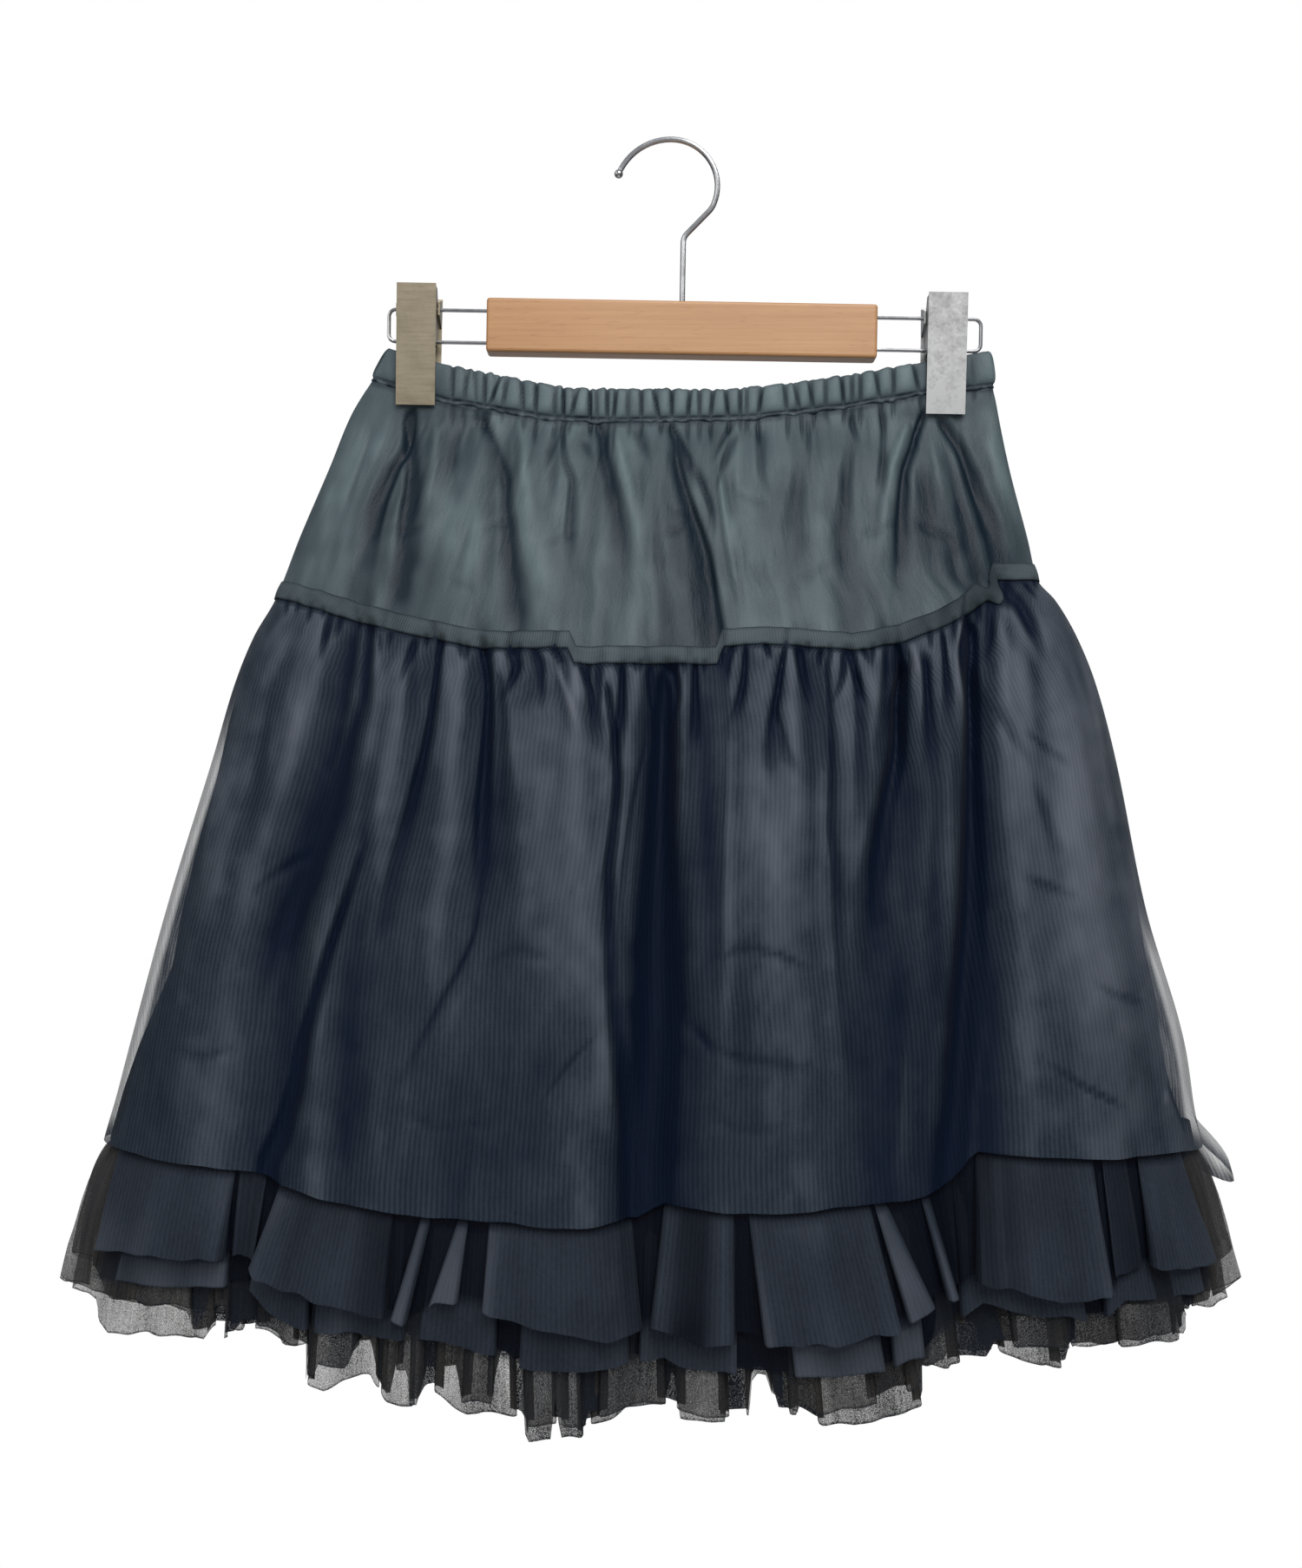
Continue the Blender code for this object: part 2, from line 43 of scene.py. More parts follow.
# cloth sizes are in millimetres: x across the skirt, drop below the top of the hook's inside
bodyForm = {  # each row: drop, then how far it reaches to the left, right, front and back
    "rows": [
        (105, 146.5, 166.5, 3.2, 3.2), (127, 158.5, 169, 3.2, 3.2), (145, 169, 172, 3.6, 3.5),
        (172, 180, 177.5, 17, 9), (211, 196.5, 187.5, 34, 18), (232, 204.4, 192.5, 41, 22.6),
        (243, 209, 202, 44.6, 25), (262, 220, 213, 52, 29), (287, 230, 223, 59, 33), (325, 241, 233, 65, 37),
        (403, 265, 248.5, 74, 42), (479, 285.5, 270, 81, 47), (520, 296, 276, 84, 50), (560, 306, 286, 87, 52),
        (660, 329, 312, 95, 58),
    ],
    "ovalHalf": 280.0, "ovalDepth": 80.0,  # the oval that spaces the columns
}
edges = {  # x, drop
    "bandTop": [
        (-150, 109), (-121, 118), (-71, 128), (-54, 131), (28, 132), (67, 128), (105, 122), (167, 111), (170, 114),
    ],
    "bandSeam": [(-159, 127), (-120, 139), (-65, 148), (-31, 150), (41, 148), (92, 142), (131, 135), (170, 131)],
    "hip": [
        (-206, 242), (-161, 257), (-116, 268), (-95, 272), (-52.5, 272), (-49, 280), (22, 280), (25, 271),
        (49, 270), (91, 273), (116, 268), (135, 261), (150, 253.5), (162, 245), (166.5, 237), (168.5, 234),
        (196, 233),
    ],
    "hipBack": [(-206, 242), (-120, 262), (-20, 274), (0, 269), (110, 262), (196, 233)],
    "hem": [
        (-297, 526), (-208, 532), (-194, 539), (-140, 547), (-57, 552), (-18, 551), (-4, 543), (50, 546),
        (100, 544), (124, 542), (131, 540), (137, 536), (142.5, 529.5), (146, 524), (150, 521), (160, 522),
        (205, 525), (277, 529),
    ],
    "hemBack": [(-297, 526), (-120, 546), (0, 550), (120, 542), (277, 529)],
    "upperFrill": [
        (-298, 577), (-213, 575), (-208, 583), (-178, 590), (-138, 597), (-130, 601), (-126, 599), (-116, 588),
        (-94, 590), (-88, 594), (-60, 601), (-32, 605), (-16, 603), (-10, 601), (10, 607), (24, 605), (43, 607),
        (85, 607), (109, 604), (127, 595), (140, 590), (151, 583), (190, 593), (216, 593), (222, 585), (238, 580),
        (262, 585), (285, 583),
    ],
    "lowerFrill": [
        (-303, 595), (-225, 591), (-214, 590), (-193, 606), (-131, 610), (-124, 608), (-85, 616), (-68, 622),
        (-23, 621), (-5, 618), (3, 622), (28, 623), (58, 625), (100, 625), (120, 619), (138, 605), (153, 596),
        (180, 603), (213, 605), (225, 597), (250, 601), (288, 598),
    ],
    "shortTulle": [
        (-322, 587), (-300, 588), (-293, 596), (-286, 604), (-252, 603), (-242, 604), (-240, 616), (-230, 616),
        (-229, 602), (-223, 602), (-222, 617), (-217, 616), (-214, 610), (-195, 614), (-191, 619), (-178, 620),
        (-177, 630), (-173, 631), (-172, 625), (-157, 626), (-154, 616), (-147, 616), (-143, 630), (-138, 641),
        (-135, 641), (-134, 626), (-127, 625), (-126, 642), (-121, 642), (-119, 627), (-104, 625), (-102, 640),
        (-86, 640), (-84, 617), (-80, 618), (-79, 622), (-73, 622), (-70, 652), (-69, 656), (-58, 656), (-56, 634),
        (-54, 656), (-43, 655), (-41, 646), (-6, 643), (-4, 642), (-2, 629), (0, 630), (1, 647), (23, 648),
        (25, 626), (45, 624), (47, 644), (56, 645), (58, 640), (66, 644), (84, 644), (95, 643), (108, 639),
        (116, 635), (118, 626), (131, 628), (133, 626), (152, 627), (157, 620), (178, 619), (190, 620), (195, 622),
        (252, 621), (256, 606), (264, 610), (277, 609), (280, 600), (288, 590), (304, 586),
    ],
    "longTulle": [
        (-330, 601), (-318, 604), (-301, 603), (-295, 606), (-292, 616), (-285, 621), (-277, 620), (-232, 618),
        (-229, 612), (-216, 614), (-207, 613), (-187, 619), (-179, 618), (-178, 637), (-174, 639), (-168, 639),
        (-159, 634), (-146, 631), (-142, 636), (-137, 643), (-122, 645), (-119, 638), (-115, 637), (-104, 643),
        (-98, 646), (-73, 647), (-70, 651), (-41, 650), (-26, 648), (-15, 644), (1, 645), (24, 647), (34, 646),
        (36, 630), (39, 627), (43, 628), (46, 640), (66, 650), (83, 654), (108, 650), (118, 646), (120, 628),
        (131, 627), (133, 621), (158, 622), (178, 630), (191, 631), (196, 621), (234, 620), (257, 619), (259, 610),
        (264, 613), (267, 608), (278, 609), (284, 608), (292, 606), (304, 602),
    ],
    "frillBack": [(-300, 584), (-120, 600), (0, 606), (120, 598), (285, 583)],
}
backEdge = {"hip": "hipBack", "hem": "hemBack"}  # the edges that run otherwise behind
edgeGuess = {"bandTop": 120.0, "bandSeam": 140.0, "hip": 260.0, "hem": 540.0}  # their usual drops


def ease(share):  # from 0 to 1, slow at both ends
    share = np.clip(share, 0.0, 1.0)
    return share * share * (3 - 2 * share)


def curveThrough(xs, ys, at):  # passes each point and never swings past it
    xs, ys = np.asarray(xs, float), np.asarray(ys, float)
    at = np.clip(at, xs[0], xs[-1])
    if len(xs) == 2:
        return np.interp(at, xs, ys)
    slopes = np.diff(ys) / np.diff(xs)
    before, after = slopes[:-1], slopes[1:]
    total = np.where(np.abs(before + after) < 1e-9, 1.0, before + after)
    middle = np.where(before * after > 0, 2 * before * after / total, 0.0)
    lean = np.concatenate([slopes[:1], middle, slopes[-1:]])
    place = np.clip(np.searchsorted(xs, at, side="right") - 1, 0, len(xs) - 2)
    width = (xs[1:] - xs[:-1])[place]
    t = (at - xs[place]) / width
    return ((2 * t**3 - 3 * t**2 + 1) * ys[place] + (t**3 - 2 * t**2 + t) * width * lean[place]
            + (3 * t**2 - 2 * t**3) * ys[place + 1] + (t**3 - t**2) * width * lean[place + 1])


def softNoise(seed, across, down, cellAcross, cellDown):  # smooth, from -1 to 1, the same each time
    grid = np.random.default_rng(seed).uniform(-1, 1, (128, 64))
    a, d = across / cellAcross, down / cellDown
    i, j = np.floor(a).astype(int), np.floor(d).astype(int)
    fa, fd = ease(a - i), ease(d - j)

    def corner(stepA, stepD):
        return grid[(i + stepA) % 128, (j + stepD) % 64]

    low = corner(0, 0) * (1 - fa) + corner(1, 0) * fa
    high = corner(0, 1) * (1 - fa) + corner(1, 1) * fa
    return low * (1 - fd) + high * fd


def layered(layers, x, drop):  # noise of several sizes: each strength, seed, width and height
    return sum(strength * softNoise(seed, x, drop, wide, tall) for strength, seed, wide, tall in layers)


def edgeDrop(name, x):  # an edge's drop at x
    return np.interp(x, *zip(*edges[name]))


def formReach(drop):  # how far the form reaches to the left, right, front and back
    rows = np.array(bodyForm["rows"])
    return [curveThrough(rows[:, 0], rows[:, column], drop) for column in range(1, 5)]


def ringAngles(frontCount, backCount):  # angles round the form, from its left side over the front and the back
    fine = np.linspace(-math.pi / 2, math.pi / 2, 2001)
    steps = np.hypot(np.diff(bodyForm["ovalHalf"] * np.sin(fine)), np.diff(bodyForm["ovalDepth"] * np.cos(fine)))
    run = np.concatenate([[0.0], np.cumsum(steps)])
    front = np.interp(np.linspace(0, run[-1], frontCount + 1), run, fine)
    back = np.interp(np.linspace(0, run[-1], backCount + 1), run, fine)
    return np.concatenate([front, math.pi - back[::-1][1:]])


def hangOut(angle, drop, lift, push=0.0, grow=0.0):  # points on the form, lifted off it, pushed in by folds
    left, right, front, back = formReach(drop)
    half, middle = (left + right) / 2, (right - left) / 2
    sine, cosine = np.sin(angle), np.cos(angle)
    taper = np.abs(cosine)
    depth = front * ease(0.5 + 6 * cosine) + back * ease(0.5 - 6 * cosine)
    longest = np.hypot(depth * sine, half * taper)
    x = middle + half * sine + lift * depth * sine / longest + grow * np.sign(sine) * np.abs(sine) ** 6
    reach = depth * taper + lift * half * taper / longest - push * np.minimum(1.0, 2 * taper)
    least = (0.35 + 0.4 * np.maximum(0.0, lift)) * np.minimum(1.0, 6 * taper)  # front and back never meet
    reach = np.maximum(reach, least)
    return np.stack([x, -np.sign(cosine) * reach, -drop + 0 * x], axis=-1) * mm


def across(angle, drop):  # x at an angle
    left, right, _, _ = formReach(drop)
    return (right - left) / 2 + (right + left) / 2 * np.sin(angle)


def edgeAt(angle, name):  # where an edge runs at each angle, found in a few closer and closer guesses
    drop = np.full(angle.shape, edgeGuess[name])
    for _ in range(8):
        x = across(angle, drop)
        drop = np.where(np.cos(angle) >= 0, edgeDrop(name, x), edgeDrop(backEdge.get(name, name), x))
    return drop


# each fold: width on its left and on its right, depth (a ridge is negative), painted shade (below 0 a painted
# highlight), then points (x, drop) down it
bodyFolds = [  # the broad swells of the whole front
    (34, 22, 9.0, 0.10, [(-160, 244), (-168, 299), (-178, 347), (-190, 403), (-196, 470), (-199, 560),
        (-200, 660)]),
    (26, 24, 5.0, 0.05, [(-122, 262), (-124, 320), (-134, 381), (-146, 450), (-152, 520)]),
    (20, 24, 5.5, 0.06, [(-97, 266), (-95, 330), (-92, 400), (-95, 480)]),
    (30, 26, 10.0, 0.12, [(-8, 286), (-8, 340), (-8, 400), (-6, 460), (-12, 520), (-12, 660)]),
    (22, 24, 5.0, 0.05, [(66, 266), (74, 340), (80, 420), (84, 500), (90, 560)]),
    (26, 26, 8.0, 0.08, [(114, 264), (112, 347), (104, 410), (104, 470), (112, 540), (114, 600)]),
    (24, 30, 10.0, 0.10, [(158, 244), (154, 300), (150, 400), (146, 470), (142, 560), (142, 660)]),
    (40, 40, -4.0, 0.0, [(-60, 290), (-58, 400), (-52, 560)]),
    (40, 34, -4.5, 0.0, [(42, 290), (40, 400), (42, 560)]),
    (34, 40, -4.0, 0.0, [(205, 250), (212, 400), (215, 560)]),
    (36, 40, -4.0, 0.0, [(-236, 300), (-244, 400), (-252, 540)]),
]
yokeFolds = [
    (20, 20, 1.6, 0.70, [(150, 156), (152, 190), (152, 236), (152, 290)]),
    (20, 24, 0.5, 0.44, [(136, 180), (144, 225), (148, 264)]),
    (16, 16, 1.0, 0.26, [(-148, 160), (-152, 200), (-154, 244)]),
    (12, 10, -0.3, -0.40, [(166, 140), (175, 190), (184, 240)]),
    (12, 9, -0.3, -0.42, [(-160, 146), (-168, 200), (-178, 262)]),
    (3, 3, 2.0, 0.90, [(11, 174), (16, 186), (20, 202), (21, 218)]),
    (14, 12, -1.2, -0.10, [(-84, 190), (-76, 220), (-66, 256)]),
    (8, 12, 0.6, 0.34, [(-94, 176), (-92, 220), (-92, 256)]),
    (10, 10, -0.5, -0.30, [(78, 176), (76, 220), (76, 290)]),
    (12, 12, -1.0, -0.20, [(34, 176), (40, 214), (44, 256)]),
    (9, 9, -1.0, -0.22, [(-117, 170), (-118, 200), (-118, 230)]),
    (3, 4, 1.0, 0.12, [(-159, 156), (-172, 203), (-181, 240)]),
    (11, 4, 4.2, 0.95, [(-136, 142), (-138, 161), (-145, 178), (-152, 201), (-155, 226), (-162, 254)]),
    (5, 5, -1.8, 0.0, [(-140, 184), (-144, 210), (-146, 240)]),
    (9, 13, 3.0, 0.92, [(-139, 144), (-136, 185), (-137, 213), (-140, 268), (-141, 310)]),
    (8, 10, -2.2, 0.0, [(-124, 150), (-125, 190), (-126, 250)]),
    (5, 6, 1.4, 0.30, [(-112, 153), (-115, 171), (-118, 200)]),
    (4, 5, 0.9, 0.08, [(-103, 202), (-108, 223), (-116, 252)]),
    (8, 8, -0.4, -0.30, [(-103, 190), (-102, 222), (-104, 262)]),
    (12, 4, 2.6, 0.85, [(-101, 144), (-92, 164), (-87, 181), (-84, 202)]),
    (10, 9, 3.6, 0.74, [(-87, 172), (-82, 223), (-77, 264), (-75, 310)]),
    (9, 11, -3.0, 0.0, [(-79, 148), (-76, 186), (-71, 219), (-64, 246), (-52, 270)]),
    (6, 3, 1.8, 0.65, [(-57, 148), (-61, 161), (-68, 182)]),
    (3, 6, 2.2, 0.60, [(-58, 155), (-56, 172), (-52, 184), (-53, 214), (-50, 250)]),
    (3, 3, 1.0, 0.35, [(-46, 160), (-41, 174)]),
    (9, 7, 3.0, 0.70, [(-38, 149), (-35, 167), (-30, 189), (-26, 217), (-24, 256)]),
    (8, 8, -2.0, 0.0, [(-30, 156), (-22, 190), (-14, 250)]),
    (5, 4, 1.2, 0.40, [(-18, 153), (-14, 165), (-11, 178)]),
    (10, 4, 2.6, 0.85, [(-2, 149), (3, 158), (8, 172), (10, 196)]),
    (14, 4, 5.5, 0.95, [(2, 168), (9, 194), (18, 226), (21, 251), (24, 278), (25, 330)]),
    (7, 7, 0.8, 0.92, [(-10, 192), (-6, 232), (-3, 270), (-3, 330)]),
    (8, 8, -0.6, -0.2, [(-20, 190), (-18, 230), (-16, 290)]),
    (10, 10, -0.4, -0.22, [(-50, 176), (-48, 205), (-47, 240)]),
    (4, 10, -3.0, 0.0, [(24, 180), (28, 214), (33, 244), (36, 268)]),
    (18, 12, 1.0, 0.70, [(0, 176), (6, 226), (12, 270), (14, 330)]),
    (3, 2, 1.6, 0.60, [(32, 150), (26, 161), (19, 176)]),
    (2.5, 4, 1.6, 0.55, [(33, 156), (25, 177), (20, 194)]),
    (3, 3, 0.9, 0.20, [(31, 215), (34, 237), (36, 254)]),
    (4, 5, 1.5, 0.50, [(46, 153), (46, 177), (52, 196)]),
    (2.5, 2.5, 1.2, 0.40, [(72, 146), (71, 176)]),
    (12, 11, 2.6, 0.16, [(67, 172), (63, 205), (62, 228), (56, 262)]),
    (3, 3, 1.6, 0.50, [(94, 145), (98, 164)]),
    (9, 9, 2.2, 0.62, [(94, 160), (89, 190), (87, 214), (89, 252), (90, 290)]),
    (3, 4, 1.6, 0.50, [(112, 144), (109, 176), (104, 213)]),
    (7, 8, -2.4, 0.0, [(124, 150), (113, 180), (107, 220), (102, 255)]),
    (4, 8, 3.6, 0.85, [(133, 142), (127, 159), (120, 180), (117, 204), (115, 232), (109, 264)]),
    (12, 14, 1.6, 0.50, [(130, 176), (130, 200), (130, 236)]),
    (14, 12, 0.3, 0.40, [(-113, 138), (-112, 170), (-110, 204)]),
    (5, 5, 1.0, 0.40, [(-60, 162), (-62, 182), (-62, 205)]),
    (8, 9, -2.0, 0.0, [(136, 160), (140, 190), (144, 226)]),
    (8, 13, 4.4, 0.70, [(142, 147), (152, 168), (159, 191), (166, 212), (172, 246), (176, 290)]),
    (8, 9, -2.4, 0.0, [(168, 160), (177, 190), (184, 222)]),
]
gatherFolds = [  # the gathers that start under the tape
    (3, 4, 1.8, 0.55, [(-175, 250), (-180, 280)]),
    (3, 3, 1.2, 0.40, [(-170, 254), (-172, 267)]),
    (3, 3, 1.0, 0.35, [(-153, 260), (-155, 272)]),
    (2.5, 2.5, 1.0, 0.40, [(-149, 262), (-147, 277)]),
    (2.5, 2.5, 1.0, 0.40, [(-143, 263), (-144, 274)]),
    (3, 4, 1.6, 0.50, [(-130, 266), (-134, 280), (-138, 294)]),
    (2.5, 3, 1.2, 0.40, [(-107, 268), (-105, 279)]),
    (2.5, 2.5, 1.0, 0.30, [(-91, 270), (-91, 279)]),
    (4, 4, 2.0, 0.60, [(-82, 271), (-78, 281), (-80, 288), (-90, 303)]),
    (4, 4, 1.6, 0.55, [(-70, 271), (-66, 283), (-65, 306)]),
    (3, 3, 1.8, 0.60, [(-60, 272), (-53, 282)]),
    (5, 5, -1.8, 0.0, [(-57, 282), (-50, 303), (-42, 328)]),
    (3, 5, 2.0, 0.50, [(-47, 279), (-41, 295), (-38, 315), (-34, 334)]),
    (2.5, 2.5, 1.2, 0.40, [(-42, 280), (-42, 294)]),
    (3, 3, 1.6, 0.45, [(-37, 280), (-37, 313)]),
    (2.5, 2.5, 1.0, 0.40, [(-28, 280), (-26, 287)]),
    (4, 5, 2.6, 0.70, [(-25, 280), (-26, 304), (-32, 340)]),
    (2, 2, 0.9, 0.35, [(-19, 280), (-18, 286)]),
    (3, 4, 1.5, 0.45, [(-12, 279), (-11, 300), (-6, 312)]),
    (3, 4, 2.4, 0.70, [(-3, 279), (1, 288), (2, 296), (-1, 314)]),
    (2.5, 2.5, 1.0, 0.40, [(5, 279), (5, 287)]),
    (4, 4, 2.4, 0.65, [(11, 278), (11, 300), (9, 340)]),
    (3, 3, 1.8, 0.55, [(30, 270), (27, 282), (27, 292)]),
    (3, 4, 2.2, 0.60, [(36, 271), (35, 286), (31, 304), (20, 321)]),
    (2.5, 2.5, 1.6, 0.60, [(46, 270), (49, 279)]),
    (4, 4, 2.2, 0.60, [(56, 271), (52, 292), (48, 320), (48, 350)]),
    (4, 4, 1.3, 0.30, [(50, 300), (56, 326), (70, 345)]),
    (3, 4, 2.4, 0.65, [(62, 271), (64, 285), (69, 304)]),
    (2.5, 2.5, 1.4, 0.45, [(74, 272), (72, 284)]),
    (3, 3, 1.8, 0.50, [(86, 272), (84, 288), (76, 304)]),
    (3, 4, 2.4, 0.65, [(88, 271), (91, 286), (98, 308)]),
    (2.5, 2.5, 1.2, 0.45, [(95, 272), (99, 281)]),
    (6, 6, 1.4, 0.30, [(107, 270), (106, 300), (102, 344)]),
    (5, 5, 3.0, 0.75, [(113, 268), (115, 284), (112, 300), (114, 345)]),
    (4, 4, -1.4, 0.0, [(120, 268), (124, 288)]),
    (5, 5, 1.4, 0.30, [(126, 274), (128, 306), (130, 344)]),
    (3, 4, 2.4, 0.65, [(136, 262), (138, 290), (140, 326)]),
    (4, 10, 3.6, 0.80, [(150, 254), (146, 274), (150, 298), (154, 324)]),
    (4, 5, 1.8, 0.50, [(164, 244), (163, 262), (159, 280)]),
    (4, 5, 1.6, 0.45, [(174, 234), (173, 254)]),
    (8, 9, 2.6, 0.50, [(176, 238), (184, 258), (190, 276)]),
    (3, 3, 1.6, 0.50, [(184, 235), (189, 244)]),
]
skirtFolds = [
    (9, 12, 4.6, 0.80, [(-154, 256), (-156, 294), (-162, 321), (-170, 360), (-181, 390), (-195, 417), (-214, 438)]),
    (14, 14, 1.4, 0.50, [(-166, 340), (-176, 372), (-190, 404), (-212, 436), (-236, 462)]),
    (6, 8, 4.2, 0.90, [(-154, 372), (-164, 402), (-175, 437), (-183, 467), (-187, 488), (-194, 510), (-202, 531),
        (-203, 562)]),
    (15, 15, 1.6, 0.60, [(-150, 320), (-154, 370), (-160, 430), (-160, 500), (-158, 562)]),
    (10, 8, -0.4, -0.30, [(-196, 420), (-204, 460), (-210, 520)]),
    (9, 8, -0.4, -0.22, [(-188, 290), (-196, 340), (-208, 384)]),
    (4, 8, 3.4, 0.42, [(-117, 264), (-120, 295), (-123, 317), (-128, 338), (-138, 381), (-142, 403), (-150, 448)]),
    (5, 8, 4.0, 0.84, [(-96, 266), (-92, 295), (-93, 317), (-95, 360), (-95, 398), (-98, 413), (-106, 434)]),
    (1.6, 3.5, 1.6, 0.50, [(-95, 392), (-98, 413), (-104, 428), (-113, 445), (-130, 478), (-140, 493),
        (-152, 510)]),
    (5, 9, 2.2, 0.50, [(-87, 284), (-85, 317), (-85, 338), (-86, 364), (-89, 396)]),
    (1.6, 2.4, 1.2, 0.42, [(-38, 461), (-51, 475), (-59, 486), (-70, 502)]),
    (12, 12, -2.2, -0.20, [(-48, 276), (-48, 340), (-46, 420), (-44, 470)]),
    (4, 7, 3.8, 0.46, [(-33, 290), (-28, 338), (-30, 364), (-32, 381), (-31, 423), (-28, 465), (-24, 506),
        (-22, 560)]),
    (3, 4, 2.0, 0.28, [(-14, 320), (-19, 345), (-22, 364), (-25, 398), (-24, 431), (-20, 460)]),
    (17, 17, 6.2, 0.99, [(-3, 282), (-3, 317), (-4, 338), (-6, 381), (-8, 423), (-11, 465), (-14, 506),
        (-15, 562)]),
    (5, 9, -2.0, -0.06, [(28, 300), (27, 340), (26, 380), (25, 430), (24, 470), (23, 545)]),
    (20, 20, -1.4, -0.46, [(60, 296), (58, 350), (52, 420), (46, 480)]),
    (26, 26, 0.3, 0.30, [(30, 400), (34, 450), (34, 500), (36, 562)]),
    (2, 6, 2.4, 0.22, [(76, 276), (78, 330), (77, 360), (79, 381), (81, 423), (82, 444), (84, 465), (88, 486),
        (94, 503), (100, 526)]),
    (6, 8, 1.8, 0.84, [(91, 284), (93, 316), (93, 350), (92, 396)]),
    (9, 9, -0.5, -0.46, [(70, 300), (74, 350), (74, 420), (76, 480)]),
    (10, 10, 4.8, 0.90, [(116, 280), (113, 317), (108, 338), (103, 360), (99, 390), (98, 423), (100, 445),
        (108, 470)]),
    (6, 6, 2.2, 0.78, [(128, 276), (128, 317), (127, 338), (121, 368)]),
    (3, 3, 1.2, 0.40, [(136, 278), (136, 317), (137, 352)]),
    (10, 11, 6.4, 0.95, [(153, 258), (151, 317), (150, 360), (148, 403), (146, 424), (144, 445), (142, 466),
        (139, 487), (136, 520), (134, 562)]),
    (10, 10, 2.2, 0.66, [(132, 296), (132, 350), (130, 400), (128, 440), (124, 500), (122, 562)]),
    (4, 5, -1.4, -0.10, [(114, 470), (112, 510), (108, 545)]),
    (20, 26, -1.2, -0.62, [(192, 240), (200, 340), (208, 420), (214, 500), (214, 545)]),
    (6, 8, 0.8, 0.70, [(7, 310), (7, 370), (6, 430), (4, 500)]),
    (12, 10, 0.6, 0.50, [(-160, 340), (-166, 372), (-170, 400), (-178, 430)]),
    (6, 6, 1.2, 0.50, [(-130, 268), (-131, 300), (-134, 340)]),
    (20, 20, 0.3, 0.30, [(-244, 400), (-252, 450), (-258, 520), (-262, 562)]),
    (10, 13, 0.6, 0.78, [(16, 296), (16, 340), (17, 400), (12, 470), (9, 562)]),
    (16, 16, 0.4, 0.56, [(110, 430), (110, 500), (114, 562)]),
    (8, 8, 1.0, 0.60, [(143, 258), (141, 330), (140, 400)]),
    (24, 30, 0.3, 0.30, [(-110, 470), (-104, 520), (-100, 562)]),
    (10, 12, -0.6, -0.36, [(176, 240), (178, 320), (182, 420)]),
    (16, 20, -0.3, -0.34, [(236, 300), (244, 400), (252, 540)]),
    (18, 14, 0.4, 0.72, [(128, 290), (124, 380), (122, 470), (124, 556)]),
    (7, 20, 1.0, 0.72, [(154, 366), (155, 450), (154, 520), (152, 562)]),
    (28, 26, 0.3, 0.36, [(-72, 400), (-74, 440), (-70, 500), (-70, 562)]),
    (20, 20, 0.3, 0.40, [(-48, 430), (-46, 500), (-46, 562)]),
    (20, 20, 0.3, 0.26, [(-124, 420), (-126, 480), (-126, 556)]),
    (22, 22, -0.6, -0.26, [(-78, 296), (-76, 340), (-74, 384)]),
    (18, 18, -0.4, -0.16, [(-130, 300), (-146, 370), (-158, 440)]),
    (14, 22, -0.4, -0.20, [(-200, 262), (-222, 330), (-244, 420), (-262, 500)]),
    (14, 16, -0.3, -0.55, [(204, 238), (220, 290), (230, 340), (240, 400), (252, 470), (262, 545)]),
    (5, 6, 1.3, 0.26, [(163, 300), (174, 320), (184, 334)]),
    (6, 8, 1.4, 0.22, [(183, 340), (192, 370), (200, 412)]),
    (3, 4, 1.6, 0.40, [(254, 494), (258, 504), (264, 524)]),
    (4, 3, -1.4, -0.2, [(236, 502), (246, 498), (256, 493)]),
    (4, 4, 1.2, 0.24, [(9, 456), (16, 466), (24, 480)]),
    (7, 7, 1.2, 0.20, [(-236, 330), (-246, 380), (-258, 440)]),
    (8, 8, 1.4, 0.20, [(-206, 300), (-214, 350), (-226, 410)]),
    (8, 9, 1.4, 0.14, [(222, 300), (232, 360), (244, 430)]),
]
# creases that run across: height above the line, height below it, depth, painted shade, then points (x, drop)
crossFolds = [
    (2.5, 6, 1.5, 0.34, [(12, 429), (31, 420), (46, 421), (70, 430)]),
    (3, 7, 1.6, 0.32, [(8, 456), (27, 470), (44, 474), (72, 477)]),
    (3, 5, 1.0, 0.22, [(14, 498), (36, 506), (60, 504)]),
    (3, 6, 1.2, 0.22, [(172, 385), (190, 391), (210, 399)]),
    (2.5, 3.5, 1.4, 0.36, [(182, 476), (201, 488), (230, 503)]),
    (3, 5, 1.1, 0.22, [(176, 311), (188, 320), (204, 332)]),
    (3, 5, 1.0, 0.20, [(206, 436), (224, 446), (246, 452)]),
    (3, 5, 1.0, 0.20, [(-94, 428), (-76, 421), (-56, 424)]),
    (4, 6, 1.2, 0.22, [(-214, 396), (-196, 382), (-178, 374)]),
    (3, 5, 1.0, 0.20, [(-262, 470), (-238, 476), (-214, 470)]),
    (3, 5, 0.9, 0.20, [(-138, 496), (-112, 506), (-84, 502)]),
    (3, 5, 0.8, 0.20, [(-154, 206), (-140, 209), (-124, 207)]),
    (3, 4, 0.8, 0.18, [(-100, 209), (-80, 204)]),
    (3, 4, 0.7, 0.18, [(-68, 217), (-46, 212)]),
    (3, 5, 0.8, 0.20, [(-10, 214), (12, 205)]),
    (2, 3, 0.8, 0.30, [(-4, 197), (8, 201), (14, 199)]),
    (3, 4, 0.8, 0.18, [(94, 213), (118, 205)]),
    (4, 5, 0.9, 0.22, [(124, 205), (148, 215)]),
    (3, 4, 0.7, 0.16, [(28, 188), (50, 196)]),
    (3, 4, 0.6, 0.16, [(60, 236), (84, 228)]),
    (3, 4, 0.6, 0.16, [(-116, 236), (-96, 242)]),
]
